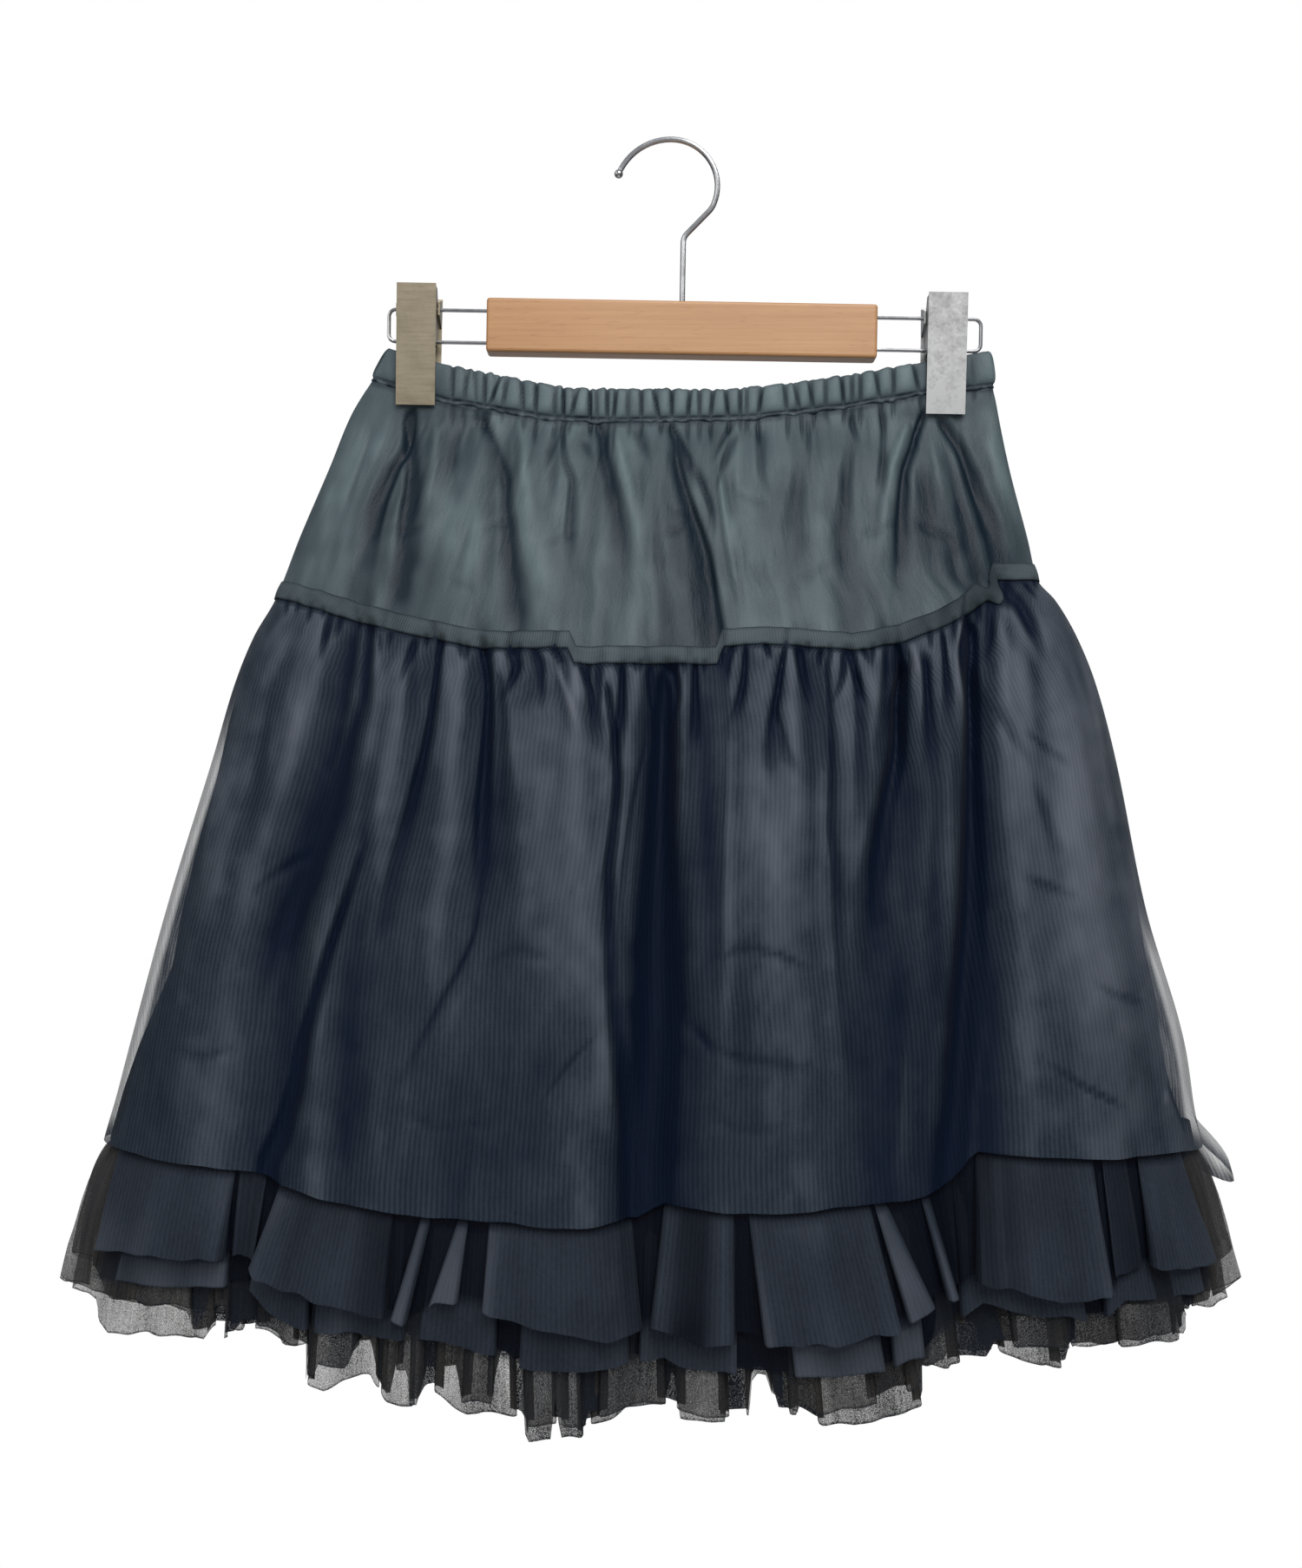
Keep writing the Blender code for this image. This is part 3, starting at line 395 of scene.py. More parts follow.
crossBack = [
    (3, 6, 1.2, 0.26, [(-60, 432), (-34, 424), (-10, 430)]),
    (3, 6, 1.2, 0.24, [(140, 470), (166, 482), (192, 484)]),
    (3, 6, 1.2, 0.24, [(-210, 462), (-184, 474), (-160, 476)]),
    (3, 5, 0.9, 0.20, [(20, 360), (44, 352), (60, 356)]),
    (3, 5, 0.8, 0.20, [(-120, 214), (-92, 206)]),
    (3, 5, 0.8, 0.20, [(-6, 206), (20, 214)]),
    (3, 5, 0.8, 0.20, [(70, 216), (98, 208)]),
    (3, 5, 1.0, 0.22, [(84, 512), (110, 518), (134, 514)]),
]
backFolds = [
    (24, 20, 8.0, 0.0, [(-158, 232), (-166, 300), (-178, 400), (-188, 520), (-190, 660)]),
    (5, 9, 3.0, 0.65, [(-146, 150), (-150, 190), (-156, 232), (-163, 300), (-174, 380), (-184, 470)]),
    (22, 20, 7.0, 0.0, [(-68, 236), (-74, 320), (-84, 430), (-92, 560), (-92, 660)]),
    (4, 8, 2.4, 0.60, [(-60, 156), (-63, 200), (-68, 250), (-74, 320), (-82, 410), (-90, 500)]),
    (30, 30, 8.0, 0.0, [(10, 232), (12, 330), (14, 450), (14, 660)]),
    (8, 4, 2.8, 0.65, [(4, 156), (8, 200), (16, 250), (20, 330), (24, 420), (22, 540)]),
    (22, 22, 7.0, 0.0, [(104, 236), (112, 330), (122, 440), (128, 560), (128, 660)]),
    (8, 4, 2.6, 0.60, [(96, 152), (102, 200), (108, 252), (116, 340), (124, 430), (130, 540)]),
    (5, 7, 2.4, 0.50, [(150, 148), (158, 190), (166, 232), (176, 300), (186, 370)]),
    (5, 6, 2.2, 0.45, [(-112, 152), (-116, 200), (-122, 262), (-128, 340)]),
    (6, 5, 2.2, 0.45, [(-28, 156), (-30, 190), (-34, 240), (-38, 310), (-46, 380)]),
    (6, 6, 2.2, 0.45, [(56, 154), (58, 196), (60, 246), (66, 318)]),
    (30, 30, -3.0, 0.0, [(-20, 280), (-28, 420), (-36, 560)]),
    (30, 34, -3.0, 0.0, [(168, 270), (180, 420), (190, 560)]),
    (30, 34, -3.0, 0.0, [(-230, 290), (-244, 420), (-256, 560)]),
    (30, 30, -2.6, 0.0, [(66, 280), (72, 420), (74, 560)]),
    (20, 16, 0.5, 0.42, [(-168, 276), (-178, 400), (-188, 520), (-190, 660)]),
    (18, 16, 0.5, 0.42, [(-74, 282), (-84, 430), (-92, 560), (-92, 660)]),
    (24, 22, 0.5, 0.46, [(12, 286), (14, 450), (14, 660)]),
    (16, 18, 0.5, 0.40, [(110, 280), (122, 440), (128, 560), (128, 660)]),
    (4, 4, 1.5, 0.40, [(-120, 420), (-132, 452), (-150, 486)]),
    (4, 4, 1.5, 0.40, [(60, 400), (48, 436), (44, 470)]),
    (4, 4, 1.4, 0.35, [(196, 430), (214, 452), (238, 470)]),
]
# pinches in the band's casing: x at the top, x at the bottom, strength
bandPinches = [
    (-115, -116, 0.6), (-107, -110, 0.5), (-104, -103, 0.3), (-98, -99, 0.7), (-90, -97, 0.9), (-86, -90, 0.5),
    (-79, -78, 0.6), (-71, -72, 0.8), (-61, -62, 0.4), (-57, -57, 1.0), (-49, -54, 0.7), (-43, -43, 1.0),
    (-40, -39, 0.4), (-34, -34, 0.7), (-29, -31, 0.8), (-23, -23, 0.3), (-16, -16, 0.6), (-10, -6, 1.0),
    (0, 0, 0.7), (10, 8, 0.7), (14.5, 14.5, 0.5), (22, 20, 0.7), (28, 30, 0.8), (36, 36, 0.6), (39.5, 39.5, 0.4),
    (48, 45, 0.9), (59, 61, 0.6), (64, 68, 0.7), (72, 75, 0.6), (81, 81, 0.4), (89, 91, 0.8), (95, 95, 0.4),
    (99.5, 99.5, 0.5), (107, 110, 0.7), (117, 117, 0.5), (127, 131, 0.7), (158, 160, 0.5),
]
clipCentres = {"left": -132.6, "right": 146.5}  # x
clipWidth = 20.6


def fallOff(share):  # 1 in the middle, 0 from a share of 1 outwards
    return np.cos(math.pi / 2 * np.clip(share, 0, 1))


def addFold(x, drop, fold):  # how far one fold pushes in, and how much it shades
    left, right, depth, shade, points = fold
    xs, drops = np.array(points, float).T
    length = drops[-1] - drops[0]
    centre = curveThrough(drops, xs, drop)
    lean = (curveThrough(drops, xs, drop + 2) - curveThrough(drops, xs, drop - 2)) / 4  # over 4 mm
    down = np.clip((drop - drops[0]) / length, 0, 1)
    short = length < 45
    swell = 1.15 - 0.7 * down if short else 0.5 + 0.75 * ease(1.3 * down)  # gathers narrow downwards, folds widen
    off = (x - centre) / np.hypot(1, lean)
    width = np.where(off < 0, left, right) * swell
    bump = 0.5 + 0.5 * np.cos(math.pi * np.clip(np.abs(off) / width, 0, 1))
    fadeIn = min(9.0 + 1.6 * max(0.0, left + right - 26), 0.3 * length)
    seam = float(edgeDrop("hip" if drops[0] > 240 else "bandSeam", xs[0]))
    if drops[0] > seam + 16:  # a fold that begins in the open cloth begins softly
        fadeIn = max(fadeIn, 0.4 * length)
    strength = ease((drop - drops[0] + 0.4 * fadeIn) / fadeIn)
    if drops[-1] < 560:
        strength = strength * ease(1.6 * (1 - down))
    # the painted shade across the fold: a narrow core and a wide soft halo; where the shade is below 0 it is a
    # painted highlight
    core = np.abs(off) / (0.85 * width + 0.7)
    halo = np.abs(off) / (1.4 * width + 1.0 if short else 2.0 * width + 2.5)
    paintedDark = 0.45 * fallOff(core) ** 2 + 0.55 * fallOff(halo) ** 2
    return depth * bump * strength, shade * paintedDark * strength


def addCrease(x, drop, fold):  # the same for a crease that runs across
    above, below, depth, shade, points = fold
    xs, drops = np.array(points, float).T
    off = drop - curveThrough(xs, drops, x)
    along = np.clip((x - xs[0]) / (xs[-1] - xs[0]), 0, 1)
    strength = ease(3.2 * along) * ease(3.2 * (1 - along))
    share = np.clip(np.abs(off) / np.where(off < 0, above, below), 0, 1)
    halo = np.abs(off) / np.where(off < 0, 1.3 * above, 1.7 * below)
    bump = 0.5 + 0.5 * np.cos(math.pi * share)
    return depth * bump * strength, 0.62 * shade * (0.5 * bump + 0.5 * fallOff(halo) ** 2) * strength


def backGathers():  # the back's gathers under the tape are like the front's, in places of their own
    draw = np.random.default_rng(11)
    found, x = [], -196.0
    while x < 188:
        top = float(edgeDrop("hipBack", x)) - 3
        length = draw.uniform(10, 26) if draw.random() < 0.6 else draw.uniform(30, 70)
        drift = draw.uniform(-0.14, 0.14) * length
        width = 2.6 + 0.03 * length
        found.append((width, width * draw.uniform(0.8, 1.4), 1.0 + 0.02 * length, 0.35 + 0.004 * length,
                      [(x, top), (x + drift, top + length / 2), (x + 1.4 * drift, top + length)]))
        x += draw.uniform(7, 15)
    return found


def seamGathers(pinches):  # short gathers that leave the band's lower edge
    found = []
    for place, (_, x, strength) in enumerate(pinches):
        top = float(edgeDrop("bandSeam", x)) - 1
        length = 7 + 20 * strength * (0.6 + 0.4 * math.sin(7.3 * place))
        found.append((1.7, 2.1, 0.9 + 0.6 * strength, 0.75 * strength,
                      [(x, top), (x + 0.6 * math.sin(3.1 * place), top + length)]))
    return found


def backPinches():  # the casing's pinches behind
    draw = np.random.default_rng(5)
    found, x = [], -140.0
    while x < 160:
        found.append((x, x + draw.uniform(-2.5, 2.5), draw.uniform(0.4, 1.0)))
        x += draw.uniform(4.5, 11.0)
    return found


def smallGathers():  # scallops between the placed gathers
    draw = np.random.default_rng(17)
    taken = [fold[4][0][0] for fold in gatherFolds]
    found, x = [], -200
    while x < 190:
        if min(abs(x - other) for other in taken) > 3.2:
            top = float(edgeDrop("hip", x)) - 2
            length = draw.uniform(6, 14)
            shade, lean = draw.uniform(0.5, 0.9), draw.uniform(-1, 1)
            found.append((2.2, 2.2, 1.6, shade, [(x, top), (x + lean, top + length)]))
        x += draw.uniform(5.0, 8.5)
    return found


def strengthened(folds, deeper, darker, darkest):  # the same folds, deeper or flatter, and darker
    return [(left, right, deeper * depth, min(darkest, darker * shade), points)
            for left, right, depth, shade, points in folds]


pinchesBack = backPinches()
frontTable = (bodyFolds + smallGathers() + strengthened(yokeFolds, 0.8, 1.1, 0.92)
              + strengthened(gatherFolds, 1.4, 1.45, 0.97) + skirtFolds + seamGathers(bandPinches))
backTable = backFolds + backGathers() + seamGathers(pinchesBack)


# small ripples, satin above the hip seam and net below it: strength, seed, width and height of a ripple
ripples = {  # each fine kind fades out over so many millimetres below a drop
    "satin": [(0.95, 3, 15, 75), (0.6, 4, 6.5, 48)], "satinFine": [(0.28, 5, 3.3, 26)], "satinFade": (150, 60),
    "net": [(1.3, 6, 24, 130), (0.75, 7, 10, 80)], "netFine": [(0.45, 14, 4.5, 40)], "netFade": (280, 90),
}


def belowHip(drop):  # 0 in the satin, 1 in the net
    return ease((drop - 262) / 30)


def foldsAt(angle, drop):  # push and shade of every fold at a place
    x = across(angle, drop)
    front = np.cos(angle) >= 0
    push, shade = np.zeros(x.shape), np.zeros(x.shape)
    for folds, creases, here in ((frontTable, crossFolds, front), (backTable, crossBack, ~front)):
        xs, drops = x[here], drop[here]
        sumPush, sumShade, sumLight = np.zeros(xs.shape), np.zeros(xs.shape), np.zeros(xs.shape)
        found = [addFold(xs, drops, fold) for fold in folds] + [addCrease(xs, drops, fold) for fold in creases]
        for depth, paintedDark in found:
            sumPush += depth
            sumShade = 1 - (1 - sumShade) * (1 - np.maximum(paintedDark, 0))
            sumLight = np.minimum(sumLight, paintedDark)
        push[here], shade[here] = sumPush, sumShade + sumLight
    place = across(angle, np.full(drop.shape, 300.0)) + np.where(front, 400, 1100)
    satin = layered(ripples["satin"], place, drop)
    start, over = ripples["satinFade"]
    satin += layered(ripples["satinFine"], place, drop) * (1 - ease((drop - start) / over))
    net = layered(ripples["net"], place, drop)
    start, over = ripples["netFade"]
    net += layered(ripples["netFine"], place, drop) * (1 - 0.7 * ease((drop - start) / over))
    below = belowHip(drop)
    push += ((1 - below) * satin + below * net) * ease((drop - 138) / 14)
    return push, shade


def relief(push, reach):  # how much deeper a place lies than the cloth on both sides of it
    wide = np.concatenate([push[:, -reach - 1:-1], push, push[:, 1:reach + 1]], axis=1)
    run = np.concatenate([np.zeros((len(push), 1)), np.cumsum(wide, axis=1)], axis=1)
    return push - (run[:, 2 * reach + 1:] - run[:, :-2 * reach - 1]) / (2 * reach + 1)


def shadeWith(shade, push, fine, broad):  # above 0 is a dark trough, below 0 a lit ridge
    return np.clip(shade + fine * relief(push, 9) + broad * relief(push, 40), -1.0, 1.0)


def darkened(shade, edge):  # an edge's own shadow, laid over the folds' shading
    return shade + np.clip(edge, 0, 1) * (1 - shade)


def sheetGrid(name, columns, rows):  # a flat grid whose corners are numbered by column and row
    shape = bmesh.new()
    bmesh.ops.create_grid(shape, x_segments=columns, y_segments=rows, size=0.5)
    mesh = bpy.data.meshes.new(name)
    shape.to_mesh(mesh)
    shape.free()
    flat = np.zeros(len(mesh.vertices) * 3)
    mesh.vertices.foreach_get("co", flat)
    flat = flat.reshape(-1, 3)
    return mesh, np.rint((flat[:, 0] + 0.5) * columns).astype(int), np.rint((0.5 - flat[:, 1]) * rows).astype(int)


def newObject(name, data):
    made = bpy.data.objects.new(name, data)
    bpy.context.scene.collection.objects.link(made)
    return made


def newPiece(name, mesh, shape):  # the finished shape goes into the mesh, and the mesh into the scene
    shape.to_mesh(mesh)
    shape.free()
    mesh.shade_smooth()
    return newObject(name, mesh)


def clothTube(name, points, alongCloth, downCloth, shade, thickness=0.0, sheer=None):  # one closed ring of cloth
    rows, columns = points.shape[0] - 1, points.shape[1] - 1
    mesh, column, row = sheetGrid(name, columns, rows)
    mesh.vertices.foreach_set("co", points[row, column].reshape(-1).astype(np.float32))
    corners = np.zeros(len(mesh.loops), int)
    mesh.loops.foreach_get("vertex_index", corners)
    weave = mesh.uv_layers.new(name="weave")
    spread = np.stack([alongCloth[row, column], downCloth[row, column]], axis=-1) * mm
    weave.data.foreach_set("uv", spread[corners].reshape(-1).astype(np.float32))
    # the painted shade, and below 0 the painted highlight, that the finishes mix into the colour
    paintedShade = mesh.attributes.new("paintedShade", "FLOAT", "POINT")
    paintedShade.data.foreach_set("value", shade[row, column].astype(np.float32))
    if sheer is not None:
        thin = mesh.attributes.new("sheer", "FLOAT", "POINT")
        thin.data.foreach_set("value", sheer[row, column].astype(np.float32))
    shape = bmesh.new()
    shape.from_mesh(mesh)
    bmesh.ops.remove_doubles(shape, verts=list(shape.verts), dist=0.00001)
    shape.faces.ensure_lookup_table()
    outwards = sum(face.normal.y * face.calc_center_median().y for face in list(shape.faces)[::37])  # some of them
    if outwards < 0:
        bmesh.ops.reverse_faces(shape, faces=list(shape.faces))
    piece = newPiece(name, mesh, shape)
    if thickness:
        wall = piece.modifiers.new("wall", "SOLIDIFY")
        wall.thickness, wall.offset = thickness * mm, -1.0
    return piece


def runAlong(points):  # millimetres along the cloth for every column of each row, from the front's middle
    run = np.zeros(points.shape[:2])
    run[:, 1:] = np.cumsum(np.linalg.norm(np.diff(points, axis=1), axis=-1) / mm, axis=1)
    middle = np.argmin(np.abs(points[-1, :, 0]) + (points[-1, :, 1] > 0))
    return run - run[:, middle:middle + 1]


def alongEdge(points):  # the same, taken from the last row for every row
    return runAlong(points[-1:]) + np.zeros(points.shape[:2])


def layRows(top, bottom, shares):  # the drop of every row on every column
    return top[None, :] + (bottom - top)[None, :] * np.asarray(shares)[:, None]


def finishPiece(piece, nodes, material):  # its finish, its body and the nodes it stands for
    piece.data.materials.append(material)
    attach(piece, "root")
    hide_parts(*nodes)
    return piece


def bothSides(name):
    return f"{name}_front", f"{name}_back"


def clearOfClips(x):  # 1 where the casing is free, 0 where a clip presses it flat
    return np.minimum(*[ease((np.abs(x - centre) - 0.5 * clipWidth) / 6) for centre in clipCentres.values()])


band = {
    "columns": (620, 300), "pillow": 1.5, "pinch": 1.9, "pinchWidth": 0.8, "flat": (0.84, 0.036),
    # up the outside, over the top and down the inside: height share, lift, pillow share
    "profile": [
        (0.0, 0.35, 0.0), (0.02, 0.95, 0.1), (0.07, 1.15, 0.15), (0.11, 0.75, 0.1), (0.15, 1.0, 0.3),
        (0.20, 1.5, 0.6), (0.28, 1.9, 0.85), (0.40, 2.15, 1.0), (0.52, 2.2, 1.0), (0.64, 2.2, 1.0),
        (0.74, 2.15, 0.95), (0.83, 2.05, 0.85), (0.90, 1.85, 0.7), (0.95, 1.6, 0.5), (0.985, 1.25, 0.3),
        (1.0, 0.9, 0.1), (0.985, 0.5, 0.0), (0.95, 0.2, 0.0), (0.85, 0.0, 0.0), (0.5, 0.0, 0.0), (0.2, 0.0, 0.0),
        (0.0, 0.0, 0.0),
    ],
    # unevenness, and the painted shade in the seam's groove and on its lip: strength, seed, width and height of a
    # wave
    "puff": [(0.25, 8, 9, 9)], "scallop": [(0.45, 12, 2.2, 60)], "wave": [(0.8, 9, 5, 50)],
    "mottle": [(0.22, 10, 4, 12)], "groove": [(0.45, 29, 6, 60)], "lip": [(0.9, 19, 2.6, 60)],
}


def pillows(x, share, pinches):  # soft rises between pinch lines, and the lines' own troughs
    table = sorted(pinches)
    places = np.array([top + (bottom - top) * 0.5 for top, bottom, _ in table])
    strengths = np.array([strength for _, _, strength in table])
    places = np.concatenate([[places[0] - 26], places, [places[-1] + 22]])
    strengths = np.concatenate([[0.4], strengths, [0.4]])
    after = np.clip(np.searchsorted(places, x), 1, len(places) - 1)
    gap = places[after] - places[after - 1]
    t = np.clip((x - places[after - 1]) / gap, 0, 1)
    rise = (1 - (2 * t - 1) ** 2) * np.minimum(1, gap / 8)
    rise = rise * (0.5 + 0.25 * (strengths[after] + strengths[after - 1]))
    trough = np.zeros(x.shape)
    for top, bottom, strength in table:
        line = top + (bottom - top) * share
        trough = np.maximum(trough, strength * np.exp(-((x - line) / band["pinchWidth"]) ** 2))
    return rise, trough


def makeBand():
    angles = ringAngles(*band["columns"])
    top, bottom = edgeAt(angles, "bandTop"), edgeAt(angles, "bandSeam")
    front = np.cos(angles) >= 0
    rows, shades = [], []
    for share, lift, soft in band["profile"]:
        drop = bottom + (top - bottom) * share
        x = across(angles, drop)
        rise, trough = np.where(front, pillows(x, 1 - share, bandPinches), pillows(x, 1 - share, pinchesBack))
        free = clearOfClips(x)
        puff, scallop, wave, mottle, groove, lip = [
            layered(band[key], x + 300, drop) for key in ("puff", "scallop", "wave", "mottle", "groove", "lip")]
        out = lift + free * soft * (band["pillow"] * (rise - 0.35) - band["pinch"] * trough + puff)
        up = free * (0.7 * rise - 0.7 * trough + scallop - 0.1) * ease((share - 0.7) / 0.3)
        down = free * wave * (1 - ease(share / 0.2))
        rows.append(hangOut(angles, drop - up + down, np.maximum(out, 0.05)))
        # painted shade in the pinch lines, and a painted highlight on the pillows between them
        shadow = free * soft * (1.5 * trough + 0.9 * (0.42 - rise) - 0.40) + mottle
        if lift > 0.5 and share < 0.16:  # the seam's groove, and its lip showing here and there
            # painted shade in the groove, and on the lip painted shade broken by painted highlight
            shadow = 0.66 + groove if share > 0.09 else 0.5 + lip
        shades.append(np.clip(shadow, -1, 1))
    points = np.stack(rows)
    along = alongEdge(points)
    steps = [abs(b[0] - a[0]) * 16 + abs(b[1] - a[1]) for a, b in zip(band["profile"], band["profile"][1:])]
    down = np.cumsum([0] + steps)[:, None] + 0 * along
    piece = clothTube("waistband", points, along, down, np.stack(shades))
    return finishPiece(piece, bothSides("waistband"), finishes["satin"])


yoke = {
    "columns": (520, 230), "rows": 58, "wall": 0.8, "flat": (0.95, 0.125),
    "lift": 0.55, "fineShade": 0.20, "broadShade": 0.10, "seamShadow": 0.75,
    "scallop": [(0.5, 13, 3.2, 20)], "paintedSheenAndMottle": [(0.22, 22, 17, 52), (0.17, 23, 5, 24), (0.14, 27, 9, 9)],
}


def makeYoke():
    angles = ringAngles(*yoke["columns"])
    top = edgeAt(angles, "bandSeam") - 1.5
    bottom = edgeAt(angles, "hip")
    drop = layRows(top, bottom, np.linspace(0, 1, yoke["rows"] + 1))
    ring = np.broadcast_to(angles, drop.shape)
    push, shade = foldsAt(ring, drop)
    near = ease((drop - top) / 9)
    x = across(ring, drop)
    scallop = layered(yoke["scallop"], x + 300, drop) * (1 - ease((drop - top) / 7))
    points = hangOut(ring, drop, yoke["lift"] + 0.45 * near + scallop, push * (0.35 + 0.65 * near))
    # painted sheen streaks and random mottling in the satin's colour, then painted shade from the folds' relief
    shade = shadeWith(shade + layered(yoke["paintedSheenAndMottle"], x + 400, drop), push, yoke["fineShade"], yoke["broadShade"])
    shade = darkened(shade, yoke["seamShadow"] * (1 - ease((drop - top - 0.8) / 3.5)))
    along = alongEdge(points)
    piece = clothTube("yoke", points, along, drop, shade, yoke["wall"])
    return finishPiece(piece, bothSides("yoke"), finishes["satin"])


tape = {
    "width": 9.0, "columns": (620, 260), "rows": 9, "wall": 0.7, "flat": (0.85, 0.010),
    "lift": 1.75, "bulge": 0.55, "creaseDepth": 0.9, "creaseWidth": 1.6, "creaseShade": 0.45,
    # painted shade and painted light along x
    "paintedShading": [
        (-206, -0.05), (-95, -0.15), (-54, -0.25), (60, -0.25), (112, 0.05), (135, 0.5), (164, 0.35), (170, -0.1),
        (184, -0.45), (196, -0.4),
    ],
    "creases": [-162, -145, -140, -121, -91, -81, -64, -58, -36, -14, 8, 26, 57, 88, 113, 137, 150, 172],
    "wave": [(0.45, 21, 7, 40)], "mottle": [(0.2, 26, 6, 30)],
}


def makeTape():
    angles = ringAngles(*tape["columns"])
    bottom = edgeAt(angles, "hip")
    shares = np.linspace(0, 1, tape["rows"] + 1)
    drop = layRows(bottom - tape["width"], bottom, shares)
    ring = np.broadcast_to(angles, drop.shape)
    push, shade = foldsAt(ring, drop)
    x = across(ring, drop)
    front = np.cos(ring) >= 0
    crease = np.zeros(x.shape)
    for place, centre in enumerate(tape["creases"]):  # no two creases lean or deepen alike
        line = centre + 0.25 * math.sin(5.0 * place) * (drop - drop[0])
        strength = 0.55 + 0.4 * math.sin(9.1 * place)
        crease = np.maximum(crease, strength * np.exp(-((x - line) / tape["creaseWidth"]) ** 2) * front)
    wave = layered(tape["wave"], x + 300, drop)
    bulge = tape["bulge"] * np.sin(math.pi * shares)[:, None]
    points = hangOut(ring, drop + wave, tape["lift"] + bulge - tape["creaseDepth"] * crease, 0.92 * push)
    # painted shade along the tape's top edge and a painted shadow along its bottom edge
    edge = np.maximum(0.7 * (1 - ease(shares / 0.14)), 0.8 * ease((shares - 0.84) / 0.16))[:, None]
    along = alongEdge(points)
    # painted shade and light along x, with random mottling
    paintedShading = np.interp(x, *zip(*tape["paintedShading"])) + layered(tape["mottle"], x + 300, drop)
    shade = darkened(darkened(0.25 * shade + paintedShading, tape["creaseShade"] * crease), edge)
    piece = clothTube("hipTape", points, along, drop - drop[0], shade, tape["wall"])
    return finishPiece(piece, bothSides("hip_tape"), finishes["tape"])


overskirt = {
    "columns": (600, 240), "rows": 110, "flat": (1.35, 0.29),
    "flapAngle": 1.80, "flapWidth": 0.13, "flapDrop": 24.0, "flapReach": 27.0,  # the hem's loose corner
    "sheerFrom": (285, 390),  # the drop where the sheer strips begin, left and right
    "lift": 1.0, "hemLift": 0.8, "hemOver": 26, "straightRibs": 0.45,
    "fineShade": 0.18, "gatherShade": 0.22, "broadShade": 0.08, "seamShadow": 0.6, "backPaintedShading": 0.4,
    # painted light along x: lighter towards the right side
    "paintedShading": [(-300, -0.02), (-200, 0), (0, 0), (150, 0), (186, -0.1), (222, -0.12), (280, -0.12)],
    "wave": [(0.8, 31, 13, 200)],
    "mottle": [(0.16, 24, 26, 60), (0.12, 25, 8, 50), (0.13, 28, 14, 14), (0.10, 30, 5, 7)],
}


def makeOverskirt():
    angles = ringAngles(*overskirt["columns"])
    top = edgeAt(angles, "hip") - 2.5
    flap = np.exp(-((angles - overskirt["flapAngle"]) / overskirt["flapWidth"]) ** 2)
    bottom = edgeAt(angles, "hem") + overskirt["flapDrop"] * flap
    shares = np.linspace(0, 1, overskirt["rows"] + 1) ** 1.12
    drop = layRows(top, bottom, shares)
    ring = np.broadcast_to(angles, drop.shape)
    push, shade = foldsAt(ring, drop)
    x = across(ring, drop)
    hemNear = ease((drop - bottom + overskirt["hemOver"]) / overskirt["hemOver"])
    wave = layered(overskirt["wave"], x + 300, drop) * hemNear
    under = 1 - ease((drop - top - 2.4) / 2.0)
    flare = overskirt["flapReach"] * flap * ease((drop - 500) / 42)
    lift = overskirt["lift"] + overskirt["hemLift"] * hemNear
    points = hangOut(ring, drop + wave, lift, push - 0.4 * under, flare)
    fine = overskirt["fineShade"] + overskirt["gatherShade"] * (1 - ease((drop - 268) / 50))
    shade = shadeWith(shade + layered(overskirt["mottle"], x + 400, drop), push, fine, overskirt["broadShade"])
    shade = darkened(shade, overskirt["seamShadow"] * (1 - ease((drop - top - 2.5) / 2.6)))
    # painted light along x, below the hip; behind at a smaller share
    paintedShading = np.interp(x, *zip(*overskirt["paintedShading"])) * belowHip(drop)
    shade = np.clip(shade + np.where(np.cos(ring) >= 0, paintedShading, overskirt["backPaintedShading"] * paintedShading), -1, 1)
    straight = overskirt["straightRibs"]  # the rest of their way, the ribs close up towards the hip
    along = straight * alongEdge(points) + (1 - straight) * runAlong(points)
    side = np.abs(np.sin(ring))  # one layer, and so more sheer, along both sides
    sheer = ease((side - 0.955) / 0.015) * (1 - 0.35 * ease((side - 0.996) / 0.003))
    sheer *= ease((drop - np.where(np.sin(ring) < 0, *overskirt["sheerFrom"])) / 50)
    sheer *= 1 - ease((drop - bottom + 14) / 14)
    piece = clothTube("overskirt", points, along, drop, shade, sheer=sheer)
    return finishPiece(piece, bothSides("overskirt"), finishes["ribbedMesh"])


frillTuck = 12.0  # how far above the overskirt's hem the frills are sewn on
underskirt = {
    "columns": (300, 160), "rows": 60, "wall": 0.5, "tail": 11.5, "flat": (1.2, 0.28),
    # how far its two sides stand in from the net's: drop, inset
    "insetLeft": [
        (250, 0), (310, 1), (338, 3), (361, 3.6), (384, 4.8), (407, 6.2), (435, 9.2), (453, 6.5), (476, 3),
        (500, 1), (560, 0),
    ],
    "insetRight": [
        (250, 0), (270, 0.5), (285, 2.5), (300, 4), (318, 3), (340, 1), (400, 0.6), (425, 4), (453, 7), (478, 11),
        (499, 9.4), (518, 5.4), (532, 1.5), (560, 0),
    ],
}


def makeUnderskirt():
    angles = ringAngles(*underskirt["columns"])
    top = edgeAt(angles, "hip") - 1.0
    bottom = edgeAt(angles, "hem") - frillTuck + underskirt["tail"]
    drop = layRows(top, bottom, np.linspace(0, 1, underskirt["rows"] + 1))
    ring = np.broadcast_to(angles, drop.shape)
    push, _ = foldsAt(ring, drop)
    share = (drop - top) / (bottom - top)
    insetLeft, insetRight = [np.interp(drop, *zip(*underskirt[key])) for key in ("insetLeft", "insetRight")]
    inset = np.where(np.sin(ring) < 0, insetLeft, insetRight)
    points = hangOut(ring, drop, -0.6 - 0.9 * np.sin(math.pi * share), push, -inset)
    along = alongEdge(points)
    piece = clothTube("underskirt", points, along, drop, np.zeros(drop.shape), underskirt["wall"])
    return finishPiece(piece, bothSides("underskirt"), finishes["lining"])


